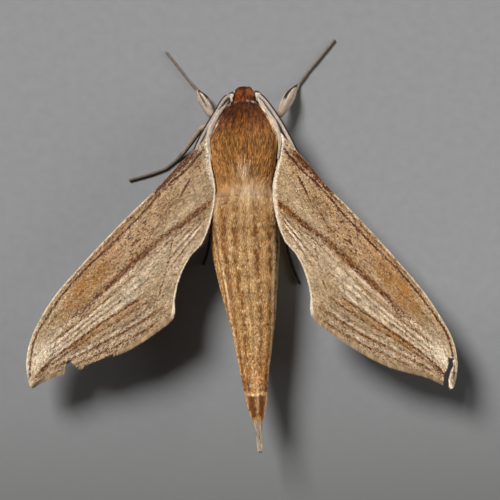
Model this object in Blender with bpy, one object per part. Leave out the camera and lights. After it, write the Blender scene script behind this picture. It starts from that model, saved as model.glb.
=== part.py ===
"""A hawk moth at rest, life size, standing on its six feet.

+Y is forwards, +X is the moth's right and +Z is up. The floor is z = 0, and the origin
is on the floor under the middle of the moth's bounding box. Every size below is in
millimetres; MM turns it into metres when a point is placed.
"""

import math
from bisect import bisect_right

import bmesh
import bpy
from mathutils import Matrix, Vector

MM = 0.001
GAP = 0.3  # the clear cut between neighbouring pieces

# Body. Each row is a slice across it: y, middle x, half width, middle z, rise, drop.
HEAD = (
    (16.50, 0.15, 1.72, 4.00, 1.50, 1.50),
    (16.90, 0.17, 1.85, 4.00, 1.58, 1.50),
    (17.30, 0.20, 1.70, 3.98, 1.42, 1.40),
    (17.65, 0.22, 1.30, 3.95, 1.10, 1.10),
    (17.90, 0.22, 0.72, 3.92, 0.62, 0.62),
    (18.00, 0.22, 0.25, 3.90, 0.22, 0.22),
)
THORAX = (
    (6.20, -0.13, 3.12, 4.40, 3.10, 2.88),
    (7.00, -0.12, 3.28, 4.40, 3.18, 2.90),
    (8.00, -0.08, 3.52, 4.45, 3.28, 2.96),
    (9.00, -0.03, 3.78, 4.50, 3.40, 3.05),
    (10.00, 0.00, 4.00, 4.50, 3.50, 3.15),
    (11.00, 0.00, 4.15, 4.50, 3.58, 3.20),
    (12.00, 0.00, 4.18, 4.50, 3.60, 3.20),
    (13.00, 0.00, 3.90, 4.45, 3.48, 3.08),
    (14.00, 0.02, 3.46, 4.40, 3.22, 2.88),
    (15.00, 0.05, 2.86, 4.30, 2.72, 2.50),
    (15.80, 0.10, 2.30, 4.20, 2.12, 2.05),
    (16.20, 0.12, 1.90, 4.10, 1.68, 1.68),
)
ABDOMEN = (
    (-19.90, 0.20, 0.52, 5.40, 0.45, 0.42),
    (-19.30, 0.20, 0.80, 5.30, 0.68, 0.62),
    (-18.00, 0.17, 1.12, 5.08, 0.96, 0.88),
    (-16.00, 0.17, 1.42, 4.80, 1.24, 1.14),
    (-14.00, 0.15, 1.70, 4.60, 1.50, 1.38),
    (-12.00, 0.18, 2.00, 4.44, 1.78, 1.64),
    (-10.00, 0.22, 2.30, 4.32, 2.06, 1.90),
    (-8.00, 0.15, 2.68, 4.22, 2.40, 2.22),
    (-6.00, 0.02, 3.02, 4.16, 2.72, 2.54),
    (-4.00, -0.05, 3.34, 4.12, 3.00, 2.82),
    (-2.00, -0.16, 3.62, 4.16, 3.22, 3.06),
    (0.00, -0.22, 3.84, 4.20, 3.36, 3.20),
    (1.00, -0.27, 3.88, 4.22, 3.38, 3.22),
    (3.00, -0.30, 3.58, 4.30, 3.26, 3.08),
    (5.00, -0.20, 3.20, 4.38, 3.06, 2.88),
    (5.90, -0.13, 3.10, 4.40, 3.00, 2.82),
)
TAIL_TUFT = (
    (-23.40, 0.40, 0.25, 6.05, 0.25, 0.25),
    (-22.40, 0.32, 0.28, 5.86, 0.26, 0.26),
    (-21.20, 0.28, 0.32, 5.64, 0.30, 0.30),
    (-20.20, 0.22, 0.46, 5.46, 0.40, 0.38),
)
BODY_SIDES = 24
ABDOMEN_RINGS = 7  # the plates that show behind the thorax
RING_STEP = 0.07  # how far a plate stands over the front of the next one
SLICE = 0.9  # distance between slices of the body

EYE_AT = (1.30, 16.80, 3.80)  # of the right eye, from the head's own middle
EYE_SIZE = (0.85, 1.00, 1.15)  # half width, length and height
PALP_AT = (0.52, 17.62, 2.72)
PALP_SIZE = (0.46, 0.62, 0.95)  # half width, length and height
PALP_LEAN = math.radians(28)
HEAD_MIDDLE = 0.18
NECK_Y = 16.6  # in front of it a feeler keeps to the head's middle, behind it to the thorax's

# Fore wing, in its own plan: along the line from hinge to tip, then across it,
# towards the tail. The front and back edges are curves through these points.
FOREWING_FRONT = (
    (0.0, -0.30), (2.0, -0.55), (7.4, -1.42), (13.0, -2.46), (20.0, -3.48), (25.5, -3.95),
    (30.0, -3.44), (32.6, -2.40), (34.2, -1.10), (35.0, -0.08),
)
FOREWING_BACK = (
    (0.0, 0.45), (2.0, 1.45), (4.6, 4.00), (7.4, 5.48), (10.2, 6.25), (12.4, 6.06),
    (15.0, 6.50), (17.3, 7.45), (18.9, 8.45), (20.7, 8.15), (24.5, 6.70), (28.5, 4.55),
    (31.8, 2.05), (33.8, 0.66), (35.0, 0.08),
)
FOREWING_HINGE = (3.90, 12.50, 5.95)
FOREWING_SWEEP = {-1: 37.8, 1: 31.9}  # degrees from straight back, left and right
FOREWING_DROOP = 1.0  # how much lower the tip is than the hinge
FOREWING_ROLL = 0.10  # rise towards the tail per millimetre across
FOREWING_CAMBER = 0.45
FOREWING_NOTCH = (
    (22.9, 8.60), (23.1, 7.10), (24.5, 6.56), (27.1, 5.05), (28.6, 4.12), (29.8, 3.32),
    (30.2, 2.86), (29.85, 1.70), (30.4, 1.72), (31.2, 2.05), (31.6, 3.60), (30.0, 6.00),
)
FOREWING_TEAR = (
    (31.70, -1.68), (32.13, -2.06), (32.85, -1.66), (33.14, -1.09), (33.81, -0.31),
    (34.45, 0.05), (34.75, 0.95), (34.00, 0.95), (33.95, 0.50), (32.98, -0.36), (32.56, -1.12),
)

HINDWING_FRONT = ((0.0, -0.25), (3.0, -1.2), (8.0, -2.0), (13.0, -1.9), (17.0, -0.9), (18.4, -0.08))
HINDWING_BACK = (
    (0.0, 0.3), (2.0, 2.1), (5.0, 4.0), (7.7, 4.85), (9.5, 4.45), (12.5, 3.5), (16.0, 1.75),
    (18.4, 0.08),
)
HINDWING_HINGE = (3.60, 9.50, 5.02)
HINDWING_SWEEP = {-1: 41.5, 1: 36.0}
HINDWING_DROOP = 0.55
WING_THICKNESS = 0.5

# Antennae and legs: joints of the right-hand one, as x, y, z and radius.
ANTENNA = (
    (1.52, 17.42, 5.10, 0.27), (1.72, 17.14, 5.16, 0.27), (2.17, 16.50, 5.20, 0.27),
    (3.22, 15.15, 4.97, 0.28), (3.96, 13.95, 4.84, 0.29), (4.57, 12.70, 4.80, 0.30),
    (5.12, 11.70, 4.78, 0.30), (5.64, 10.65, 4.74, 0.30), (6.16, 9.70, 4.66, 0.28),
    (6.52, 9.00, 4.58, 0.26), (6.56, 8.55, 4.50, 0.25),
)
TARSUS_Z = 0.22  # height of the foot's middle, which leaves the floor a flat to meet
FOOT = 0.26
LEGS = {
    "leg_fore_right": (
        (0.75, 14.10, 0.98, 0.34), (1.45, 14.75, 1.02, 0.40), (2.70, 14.85, 1.62, 0.38),
        (3.85, 14.78, 2.25, 0.34), (4.25, 15.10, 2.25, 0.38), (5.25, 16.60, 1.38, 0.44),
        (6.05, 17.80, 0.62, 0.32), (6.45, 18.40, TARSUS_Z, 0.27), (7.35, 19.55, TARSUS_Z, 0.29),
        (7.60, 19.85, TARSUS_Z, 0.25), (8.65, 21.00, TARSUS_Z, 0.27), (9.80, 22.30, TARSUS_Z, FOOT),
        (10.85, 23.50, TARSUS_Z, FOOT),
    ),
    "leg_fore_left": (
        (-0.75, 14.10, 0.98, 0.34), (-1.45, 14.80, 1.02, 0.40), (-2.55, 15.00, 1.62, 0.38),
        (-3.40, 15.02, 2.15, 0.34), (-3.72, 15.35, 2.10, 0.38), (-4.35, 16.60, 1.28, 0.44),
        (-4.85, 17.65, 0.58, 0.32), (-5.20, 18.20, TARSUS_Z, 0.27), (-5.95, 19.05, TARSUS_Z, 0.29),
        (-6.20, 19.35, TARSUS_Z, 0.25), (-7.05, 20.55, TARSUS_Z, 0.27), (-7.90, 21.70, TARSUS_Z, FOOT),
        (-8.75, 22.85, TARSUS_Z, FOOT),
    ),
    "leg_mid_left": (
        (-0.85, 11.60, 0.86, 0.36), (-1.75, 12.40, 0.88, 0.40), (-3.20, 13.45, 1.55, 0.38),
        (-4.45, 13.95, 2.35, 0.32), (-4.95, 13.70, 2.25, 0.33), (-6.20, 12.20, 1.30, 0.33),
        (-7.35, 10.80, 0.50, 0.28), (-7.95, 10.25, TARSUS_Z, 0.27), (-9.10, 9.40, TARSUS_Z, 0.28),
        (-9.45, 9.20, TARSUS_Z, 0.25), (-10.90, 8.75, TARSUS_Z, 0.27), (-12.30, 8.40, TARSUS_Z, FOOT),
        (-13.60, 8.10, TARSUS_Z, FOOT),
    ),
    "leg_mid_right": (
        (0.85, 11.60, 0.86, 0.36), (1.75, 12.10, 0.88, 0.40), (3.20, 12.55, 1.55, 0.38),
        (4.45, 12.60, 2.35, 0.32), (4.85, 12.20, 2.25, 0.33), (5.70, 10.60, 1.30, 0.33),
        (6.50, 9.10, 0.50, 0.28), (6.95, 8.45, TARSUS_Z, 0.27), (7.90, 7.45, TARSUS_Z, 0.28),
        (8.20, 7.15, TARSUS_Z, 0.25), (9.10, 6.30, TARSUS_Z, 0.27), (9.95, 5.40, TARSUS_Z, FOOT),
        (10.70, 4.50, TARSUS_Z, FOOT),
    ),
    "leg_hind_right": (
        (0.85, 8.70, 0.86, 0.36), (1.90, 9.30, 0.90, 0.40), (3.20, 9.45, 1.55, 0.38),
        (4.30, 9.10, 2.05, 0.32), (4.50, 8.60, 1.95, 0.33), (4.50, 6.20, 1.22, 0.33),
        (4.35, 4.10, 0.55, 0.28), (4.28, 3.30, TARSUS_Z, 0.27), (4.22, 1.80, TARSUS_Z, 0.28),
        (4.24, 1.40, TARSUS_Z, 0.25), (4.45, -0.50, TARSUS_Z, 0.27), (5.00, -2.60, TARSUS_Z, FOOT),
        (5.70, -4.65, TARSUS_Z, FOOT),
    ),
    "leg_hind_left": (
        (-0.85, 8.70, 0.86, 0.36), (-1.90, 9.30, 0.90, 0.40), (-3.20, 9.55, 1.55, 0.38),
        (-4.30, 9.40, 2.05, 0.32), (-4.60, 9.00, 1.95, 0.33), (-4.75, 6.80, 1.22, 0.33),
        (-4.60, 4.90, 0.55, 0.28), (-4.50, 4.20, TARSUS_Z, 0.27), (-4.35, 2.90, TARSUS_Z, 0.28),
        (-4.35, 2.50, TARSUS_Z, 0.25), (-4.45, 0.90, TARSUS_Z, 0.27), (-4.80, -0.60, TARSUS_Z, FOOT),
        (-5.40, -2.05, TARSUS_Z, FOOT),
    ),
}
LIMB_SIDES = 8

# colour, roughness
MATERIALS = {
    "crown_fur": ((0.25, 0.09, 0.03), 0.85),
    "thorax_fur": ((0.42, 0.20, 0.06), 0.85),
    "abdomen_scales": ((0.50, 0.30, 0.12), 0.80),
    "tail_hair": ((0.55, 0.38, 0.20), 0.80),
    "forewing_scales": ((0.52, 0.40, 0.26), 0.75),
    "hindwing_scales": ((0.12, 0.08, 0.06), 0.75),
    "feeler_scales": ((0.62, 0.54, 0.46), 0.70),
    "leg_scales": ((0.40, 0.31, 0.22), 0.70),
    "eye_shell": ((0.02, 0.015, 0.012), 0.18),
}


def start_empty():
    for old in list(bpy.data.objects):
        bpy.data.objects.remove(old)


def make_materials():
    for name, (colour, roughness) in MATERIALS.items():
        material = bpy.data.materials.new(name)
        material.use_nodes = True
        shader = material.node_tree.nodes["Principled BSDF"]
        shader.inputs["Base Color"].default_value = (*colour, 1.0)
        shader.inputs["Roughness"].default_value = roughness
        shader.inputs["Metallic"].default_value = 0.0


def smooth(points):
    """A function through these (place, value) pairs, with no corner at them."""
    places, values = zip(*points)
    last = len(places) - 1

    def slope(i):
        low, high = max(i - 1, 0), min(i + 1, last)
        return (values[high] - values[low]) / (places[high] - places[low])

    def at(place):
        i = min(max(bisect_right(places, place) - 1, 0), last - 1)
        step = places[i + 1] - places[i]
        t = min(max((place - places[i]) / step, 0.0), 1.0)
        rise = values[i + 1] - values[i]
        start, end = slope(i) * step, slope(i + 1) * step
        return values[i] + t * (start + t * (3 * rise - 2 * start - end + t * (start + end - 2 * rise)))

    return at


def slices_of(table):
    """Smooth functions of y for the middle x, half width, middle z, rise and drop."""
    return [smooth([(row[0], row[i]) for row in table]) for i in range(1, 6)]


def node_from(name, bm, material, smooth_angle=40):
    """Closes the bmesh into a named object with its material."""
    bmesh.ops.recalc_face_normals(bm, faces=bm.faces)
    mesh = bpy.data.meshes.new(name)
    bm.to_mesh(mesh)
    bm.free()
    mesh.shade_smooth()
    mesh.set_sharp_from_angle(angle=math.radians(smooth_angle))
    mesh.materials.append(bpy.data.materials[material])
    node = bpy.data.objects.new(name, mesh)
    bpy.context.scene.collection.objects.link(node)
    return node


def loft(name, sides, rings, place, material):
    """Extrudes a disc from ring to ring. place(ring, unit) gives each corner in millimetres."""
    bm = bmesh.new()
    bmesh.ops.create_circle(bm, cap_ends=True, radius=1.0, segments=sides)
    bm.faces.ensure_lookup_table()
    face = bm.faces[0]
    units = [corner.co.copy() for corner in face.verts]
    for number, ring in enumerate(rings):
        if number:
            face = bmesh.ops.extrude_discrete_faces(bm, faces=[face])["faces"][0]
        for corner, unit in zip(face.verts, units):
            corner.co = Vector(place(ring, unit)) * MM
    bmesh.ops.holes_fill(bm, edges=bm.edges)
    return node_from(name, bm, material)


def body_piece(name, table, material, ring_step=0.0):
    """One length of the body, lofted through its slices from back to front."""
    middle_x, half_width, middle_z, rise, drop = slices_of(table)
    back, front = table[0][0], table[-1][0]
    plate = (front - back) / ABDOMEN_RINGS
    ys = {row[0] for row in table}
    if ring_step:
        ys |= {back + plate * (i + side) for i in range(1, ABDOMEN_RINGS) for side in (-0.04, 0.04)}
    slices = math.ceil((front - back) / SLICE)
    wide = (front - back) / slices
    ys |= {
        back + wide * i
        for i in range(1, slices)
        if min(abs(back + wide * i - y) for y in ys) > 0.4
    }

    def place(y, unit):
        share = ((y - back) / plate) % 1.0
        # A plate is widest at its back edge, which laps over the next plate.
        swell = ring_step * (0.5 - share) * min(1.0, (front - y) / plate, (y - back) / plate)
        height = rise(y) if unit.y > 0 else drop(y)
        return (
            middle_x(y) + unit.x * (half_width(y) + swell),
            y,
            middle_z(y) + unit.y * (height + swell),
        )

    return loft(name, BODY_SIDES, sorted(ys), place, material)


def ball(name, at, size, material, lean=0.0, grow=0.0):
    """A round piece: centre, half sizes, and how far it leans forwards."""
    bm = bmesh.new()
    bmesh.ops.create_uvsphere(bm, u_segments=18, v_segments=10, radius=1.0)
    half = Vector(size) + Vector((grow, grow, grow))
    bmesh.ops.scale(bm, vec=half * MM, verts=bm.verts)
    bmesh.ops.rotate(bm, matrix=Matrix.Rotation(lean, 3, "X"), verts=bm.verts)
    bmesh.ops.translate(bm, vec=Vector(at) * MM, verts=bm.verts)
    return node_from(name, bm, material)


def prism(name, outline, low, high):
    """A cutter: a flat outline in millimetres pulled up from low to high."""
    bm = bmesh.new()
    floor = bm.faces.new([bm.verts.new(Vector((x, y, low)) * MM) for x, y in outline])
    roof = bmesh.ops.extrude_face_region(bm, geom=[floor])["geom"]
    lift = [part for part in roof if isinstance(part, bmesh.types.BMVert)]
    bmesh.ops.translate(bm, vec=Vector((0, 0, high - low)) * MM, verts=lift)
    return node_from(name, bm, "leg_scales")


def cut(node, cutter):
    """Takes the cutter's shape out of the node, and keeps the cutter out of the model."""
    cutter.hide_render = True
    cutter.display_type = "WIRE"
    boolean = node.modifiers.new(f"cut_by_{cutter.name}", "BOOLEAN")
    boolean.operation = "DIFFERENCE"
    boolean.object = cutter


def tube(name, joints, material):
    """A limb: an eight-sided tube through its joints, with a flat side down."""
    points = [Vector(joint[:3]) for joint in joints]
    radii = [joint[3] for joint in joints]
    steps = [(b - a).normalized() for a, b in zip(points, points[1:])]
    ways = [steps[0]] + [(a + b).normalized() for a, b in zip(steps, steps[1:])] + [steps[-1]]
    across = ways[0].cross(Vector((0, 0, 1))).normalized()
    sides = []
    for before, way in zip(ways[:1] + ways, ways):
        across = before.rotation_difference(way) @ across
        sides.append(across.copy())

    flat_down = Matrix.Rotation(math.pi / LIMB_SIDES, 3, "Z")

    def place(i, unit):
        corner = flat_down @ unit
        at = points[i] + radii[i] * (corner.x * sides[i] + corner.y * sides[i].cross(ways[i]))
        return at.x, at.y, max(at.z, 0.0)

    return loft(name, LIMB_SIDES, range(len(points)), place, material)


def body_half_width(y, z):
    """How far the body reaches sideways at this place, or nothing beyond its ends."""
    for table in (THORAX, ABDOMEN):
        if table[0][0] - GAP <= y <= table[-1][0] + GAP:
            middle_x, half_width, middle_z, rise, drop = slices_of(table)
            height = rise(y) if z > middle_z(y) else drop(y)
            share = min(abs(z - middle_z(y)) / height, 1.0)
            return middle_x(y), half_width(y) * math.sqrt(1.0 - share * share)
    return 0.0, 0.0


def wing_point(along, across, side, hinge, sweep):
    """Plan of a wing to x and y: along runs from hinge to tip, across towards the tail."""
    angle = math.radians(sweep[side])
    x = hinge[0] + along * math.sin(angle) - across * math.cos(angle)
    y = hinge[1] - along * math.cos(angle) - across * math.sin(angle)
    return side * x, y


def forewing_height(along, across, share):
    arch = FOREWING_CAMBER * math.sin(math.pi * share) * math.sin(math.pi * min(1.0, along / 18.0) / 2)
    droop = FOREWING_DROOP * (along / FOREWING_FRONT[-1][0]) ** 2
    return FOREWING_HINGE[2] + arch - droop + FOREWING_ROLL * across * min(1.0, along / 8.0)


def hindwing_height(along, across, share):
    arch = 0.2 * math.sin(math.pi * share)
    droop = HINDWING_DROOP * (along / HINDWING_FRONT[-1][0]) ** 1.5
    return HINDWING_HINGE[2] + arch - droop + 0.05 * across


def wing(name, side, front, back, hinge, sweep, height, columns, rows, material):
    """A thin plate between its front and back edges, thickened evenly on both sides."""
    front_edge, back_edge = smooth(front), smooth(back)
    length = front[-1][0]
    bm = bmesh.new()
    bmesh.ops.create_grid(bm, x_segments=columns, y_segments=rows, size=1.0)
    for corner in bm.verts:
        along = length * (1.0 - (1.0 - (corner.co.x + 1) / 2) ** 1.35)
        share = (corner.co.y + 1) / 2
        across = front_edge(along) + share * (back_edge(along) - front_edge(along))
        x, y = wing_point(along, across, side, hinge, sweep)
        z = height(along, across, share)
        body_x, reach = body_half_width(y, z)
        x = side * max(side * x, side * body_x + reach + GAP)
        corner.co = Vector((x, y, z)) * MM
    plate = node_from(name, bm, material, smooth_angle=35)
    solid = plate.modifiers.new("thickness", "SOLIDIFY")
    solid.thickness = WING_THICKNESS * MM
    solid.offset = 0.0
    return plate


def make_body():
    head = body_piece("head", HEAD, "crown_fur")
    thorax = body_piece("thorax", THORAX, "thorax_fur")
    body_piece("abdomen", ABDOMEN, "abdomen_scales", RING_STEP)
    body_piece("tail_tuft", TAIL_TUFT, "tail_hair")
    for side, word in ((-1, "left"), (1, "right")):
        eye_at = (HEAD_MIDDLE + side * EYE_AT[0], *EYE_AT[1:])
        ball(f"eye_{word}", eye_at, EYE_SIZE, "eye_shell")
        socket = ball(f"eye_socket_{word}", eye_at, EYE_SIZE, "eye_shell", grow=GAP / 2)
        palp_at = (HEAD_MIDDLE + side * PALP_AT[0], *PALP_AT[1:])
        palp = ball(f"palp_{word}", palp_at, PALP_SIZE, "crown_fur", PALP_LEAN)
        for piece in (head, thorax, palp):
            cut(piece, socket)
        cut(head, ball(f"palp_seat_{word}", palp_at, PALP_SIZE, "crown_fur", PALP_LEAN, grow=GAP / 2))


def make_wings():
    for side, word in ((-1, "left"), (1, "right")):
        forewing = wing(
            f"forewing_{word}", side, FOREWING_FRONT, FOREWING_BACK, FOREWING_HINGE,
            FOREWING_SWEEP, forewing_height, 30, 8, "forewing_scales",
        )
        worn = FOREWING_NOTCH if side < 0 else FOREWING_TEAR
        outline = [
            wing_point(along, across, side, FOREWING_HINGE, FOREWING_SWEEP)
            for along, across in worn
        ]
        cut(forewing, prism(f"worn_edge_{word}", outline, 3.0, 8.0))
        wing(
            f"hindwing_{word}", side, HINDWING_FRONT, HINDWING_BACK, HINDWING_HINGE,
            HINDWING_SWEEP, hindwing_height, 18, 6, "hindwing_scales",
        )


def make_limbs():
    for side, word in ((-1, "left"), (1, "right")):
        joints = [
            (side * x + (HEAD_MIDDLE if y > NECK_Y else 0.0), y, z, r) for x, y, z, r in ANTENNA
        ]
        tube(f"antenna_{word}", joints, "feeler_scales")
    for name, joints in LEGS.items():
        tube(name, joints, "leg_scales")


def centre_on_floor():
    """Hangs every piece on one empty that brings the bounding box's middle over the origin."""
    bpy.context.view_layer.update()
    graph = bpy.context.evaluated_depsgraph_get()
    corners = [
        piece.matrix_world @ Vector(corner)
        for piece in bpy.context.scene.objects
        if not piece.hide_render
        for corner in piece.evaluated_get(graph).bound_box
    ]
    middle = [(min(c[i] for c in corners) + max(c[i] for c in corners)) / 2 for i in (0, 1)]
    moth = bpy.data.objects.new("moth", None)
    bpy.context.scene.collection.objects.link(moth)
    for piece in list(bpy.context.scene.objects):
        if piece is not moth:
            piece.parent = moth
    moth.location = (-middle[0], -middle[1], 0.0)


start_empty()
make_materials()
make_body()
make_wings()
make_limbs()
centre_on_floor()
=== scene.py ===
import math

import bmesh
import bpy
import numpy as np
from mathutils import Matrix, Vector


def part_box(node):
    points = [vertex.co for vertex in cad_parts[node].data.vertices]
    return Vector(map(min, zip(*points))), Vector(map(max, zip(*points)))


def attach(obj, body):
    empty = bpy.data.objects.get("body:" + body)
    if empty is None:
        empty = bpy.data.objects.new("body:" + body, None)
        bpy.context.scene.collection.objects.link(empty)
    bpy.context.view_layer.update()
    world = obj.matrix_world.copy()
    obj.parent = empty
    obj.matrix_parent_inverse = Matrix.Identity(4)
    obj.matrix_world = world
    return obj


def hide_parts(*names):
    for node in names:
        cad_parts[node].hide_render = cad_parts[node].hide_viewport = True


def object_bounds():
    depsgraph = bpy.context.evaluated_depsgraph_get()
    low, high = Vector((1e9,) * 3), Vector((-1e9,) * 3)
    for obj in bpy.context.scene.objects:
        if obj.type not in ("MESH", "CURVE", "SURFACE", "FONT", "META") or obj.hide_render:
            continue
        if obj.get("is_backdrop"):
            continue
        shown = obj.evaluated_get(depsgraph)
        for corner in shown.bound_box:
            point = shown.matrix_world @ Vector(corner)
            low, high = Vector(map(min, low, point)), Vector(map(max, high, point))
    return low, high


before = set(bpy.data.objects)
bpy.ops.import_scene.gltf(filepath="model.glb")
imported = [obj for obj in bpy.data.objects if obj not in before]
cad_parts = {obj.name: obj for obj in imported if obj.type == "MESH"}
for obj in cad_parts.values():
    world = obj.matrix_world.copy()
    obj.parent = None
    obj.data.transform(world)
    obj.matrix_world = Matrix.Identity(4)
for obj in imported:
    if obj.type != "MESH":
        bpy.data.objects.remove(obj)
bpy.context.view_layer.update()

# ---- Body skin --------------------------------------------------------------------
# The hard outer skin of head, thorax, abdomen and tail, one closed shell from the
# forehead to the end of the tail brush. It is a loft of upright ovals, and it lies
# under the coat by the coat's own depth.
MM = 0.001
SIDES = (("left", -1), ("right", 1))
HEAD_MIDDLE = (0.18, 16.80)  # of the moth's own measure, in millimetres from its waist
eye_boxes = [corner for word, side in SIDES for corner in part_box(f"eye_{word}")]
eyes_middle = sum(eye_boxes, Vector()) / 4
MOTH_AT = np.array(
    (eyes_middle.x - HEAD_MIDDLE[0] * MM, eyes_middle.y - HEAD_MIDDLE[1] * MM, 0.0)
)

# y, middle x, half width, middle z, rise, drop
BODY = (
    (-23.46, 0.40, 0.02, 6.06, 0.02, 0.02),
    (-23.36, 0.40, 0.22, 6.05, 0.22, 0.22),
    (-22.40, 0.32, 0.28, 5.86, 0.26, 0.26),
    (-21.20, 0.28, 0.32, 5.64, 0.30, 0.30),
    (-20.20, 0.22, 0.46, 5.46, 0.40, 0.38),
    (-19.30, 0.20, 0.80, 5.30, 0.68, 0.62),
    (-18.00, 0.17, 1.12, 5.08, 0.96, 0.88),
    (-16.00, 0.11, 1.42, 4.80, 1.24, 1.14),
    (-14.00, 0.07, 1.70, 4.60, 1.50, 1.38),
    (-12.00, 0.09, 2.02, 4.44, 1.78, 1.64),
    (-10.00, 0.08, 2.34, 4.32, 2.06, 1.90),
    (-8.00, 0.00, 2.72, 4.22, 2.40, 2.22),
    (-6.00, -0.13, 3.06, 4.16, 2.72, 2.54),
    (-4.00, -0.23, 3.38, 4.12, 3.00, 2.82),
    (-2.00, -0.34, 3.66, 4.16, 3.22, 3.06),
    (0.00, -0.39, 3.88, 4.20, 3.36, 3.20),
    (1.00, -0.41, 3.90, 4.22, 3.38, 3.22),
    (3.00, -0.42, 3.66, 4.30, 3.26, 3.08),
    (5.00, -0.28, 3.26, 4.38, 3.06, 2.88),
    (6.20, -0.13, 3.00, 4.40, 3.06, 2.85),
    (7.00, -0.13, 3.06, 4.40, 3.18, 2.90),
    (8.00, -0.12, 3.26, 4.45, 3.28, 2.96),
    (9.00, -0.10, 3.50, 4.50, 3.40, 3.05),
    (10.00, -0.08, 3.74, 4.50, 3.50, 3.15),
    (11.00, -0.06, 3.94, 4.50, 3.58, 3.20),
    (12.00, -0.04, 4.06, 4.50, 3.60, 3.20),
    (13.00, 0.00, 3.90, 4.45, 3.48, 3.08),
    (14.00, 0.02, 3.46, 4.40, 3.22, 2.88),
    (15.00, 0.05, 2.86, 4.30, 2.72, 2.50),
    (15.80, 0.10, 2.30, 4.20, 2.12, 2.05),
    (16.20, 0.12, 1.92, 4.08, 1.66, 1.66),
    (16.50, 0.10, 1.76, 4.00, 1.52, 1.52),
    (16.90, 0.09, 1.85, 4.00, 1.58, 1.50),
    (17.30, 0.10, 1.56, 3.98, 1.42, 1.40),
    (17.60, 0.09, 1.14, 3.95, 1.14, 1.10),
    (17.84, 0.09, 0.82, 3.92, 0.82, 0.80),
    (17.98, 0.09, 0.50, 3.91, 0.50, 0.50),
    (18.06, 0.09, 0.10, 3.90, 0.10, 0.10),
)
COAT_DEPTH = (
    (-23.4, 0.10), (-20.2, 0.12), (-18.0, 0.14), (5.0, 0.16), (7.0, 0.32), (15.6, 0.34),
    (16.2, 0.24), (17.4, 0.24), (18.06, 0.10),
)
TAIL_END, BRUSH, WAIST, FOREHEAD = -23.46, -19.9, 5.9, 18.06  # the tail brush begins at BRUSH
PLATE = (WAIST - BRUSH) / 7  # length of one ring of the abdomen


def unit(value):
    """Held between 0 and 1."""
    return np.clip(value, 0, 1)


def ramp(value, start, end):
    """Nothing before start, one after end, and smooth between."""
    t = unit((value - start) / (end - start))
    return t * t * (3 - 2 * t)


def hump(value, middle, width):
    """One at the middle, falling off smoothly on both sides."""
    return np.exp(-(((value - middle) / width) ** 2))


def smooth(points):
    """A curve through these (place, value) pairs, with no corner at them."""
    places, values = np.array(points, float).T
    slopes = np.gradient(values)
    slopes[1:-1] = (values[2:] - values[:-2]) / (places[2:] - places[:-2])
    slopes[[0, -1]] = (
        (values[1] - values[0]) / (places[1] - places[0]),
        (values[-1] - values[-2]) / (places[-1] - places[-2]),
    )

    def at(place):
        place = np.clip(place, places[0], places[-1])
        i = np.clip(np.searchsorted(places, place, side="right") - 1, 0, len(places) - 2)
        step = places[i + 1] - places[i]
        t = (place - places[i]) / step
        rise = values[i + 1] - values[i]
        start, end = slopes[i] * step, slopes[i + 1] * step
        return values[i] + t * (start + t * (3 * rise - 2 * start - end + t * (start + end - 2 * rise)))

    return at


middle_x, half_width, middle_z, rise, drop = (
    smooth([(row[0], row[i]) for row in BODY]) for i in range(1, 6)
)
coat_depth = smooth(COAT_DEPTH)


def ring_step(y):
    """How far a ring of the abdomen stands out where it laps over the next one."""
    share = ((y - BRUSH) / PLATE) % 1.0
    reach = unit((WAIST - y) / PLATE) * unit((y - BRUSH) / PLATE)
    return 0.03 * (0.5 - share) * reach


flank_full = smooth((  # how much fuller the flanks of the thorax are than an oval
    (0.5, 0.0), (2.0, 0.20), (4.0, 0.42), (5.5, 0.50), (7.0, 0.42), (9.0, 0.28), (12.0, 0.24), (13.5, 0.0),
))


def body_surface(y, turn, out):
    """A point of the body: turn runs round it from the right side over the back."""
    y, turn, out = np.broadcast_arrays(y, turn, out)
    height = np.where(np.sin(turn) > 0, rise(y), drop(y))
    deep = out + ring_step(y) - coat_depth(y)
    deep += flank_full(y) * hump(np.arcsin(np.sin(turn)), 0.55, 0.45) * (1.30 - 0.32 * np.cos(turn))
    wide = np.maximum(half_width(y) + deep, 0.01)
    tall = np.maximum(height + deep, 0.01)
    return np.stack(
        [middle_x(y) + wide * np.cos(turn), y + 0.0, middle_z(y) + tall * np.sin(turn)], axis=-1
    )


def flecks(s, t, long, wide, seed):
    """Smooth random patches, 0 to 1, each about this long and wide."""
    size = 512
    lattice = np.random.default_rng(seed).random((size, size))
    a, b = np.asarray(s) / long + 1000.0, np.asarray(t) / wide + 1000.0
    i, j = np.floor(a).astype(int), np.floor(b).astype(int)
    a, b = a - i, b - j
    a, b = a * a * (3 - 2 * a), b * b * (3 - 2 * b)
    low = lattice[i % size, j % size] * (1 - b) + lattice[i % size, (j + 1) % size] * b
    high = lattice[(i + 1) % size, j % size] * (1 - b) + lattice[(i + 1) % size, (j + 1) % size] * b
    return low * (1 - a) + high * a


def marks_of(warm, dark, pale, tone):
    """What skin and coat carry at each place: how rusty, dark, pale and light it is."""
    return {"warm": unit(warm), "dark": unit(dark), "pale": unit(pale), "tone": unit(tone)}


# Where the white of each flank begins on the thorax, as a share of the half width.
white_left = smooth((
    (11.8, 1.10), (12.6, 0.95), (13.0, 0.96), (14.0, 0.90), (15.0, 0.91), (15.6, 0.97), (16.2, 1.06),
    (16.7, 0.88),
))
white_right = smooth((
    (11.6, 1.05), (12.4, 0.89), (13.0, 0.86), (14.0, 0.84), (15.0, 0.82), (16.0, 0.81), (16.7, 0.78),
))
crown_reach = smooth((  # half the width of the rust-brown crown
    (16.3, 1.56), (16.6, 1.50), (17.0, 1.40), (17.35, 1.26), (17.55, 1.32), (17.7, 1.45), (18.0, 1.50),
))

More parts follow.
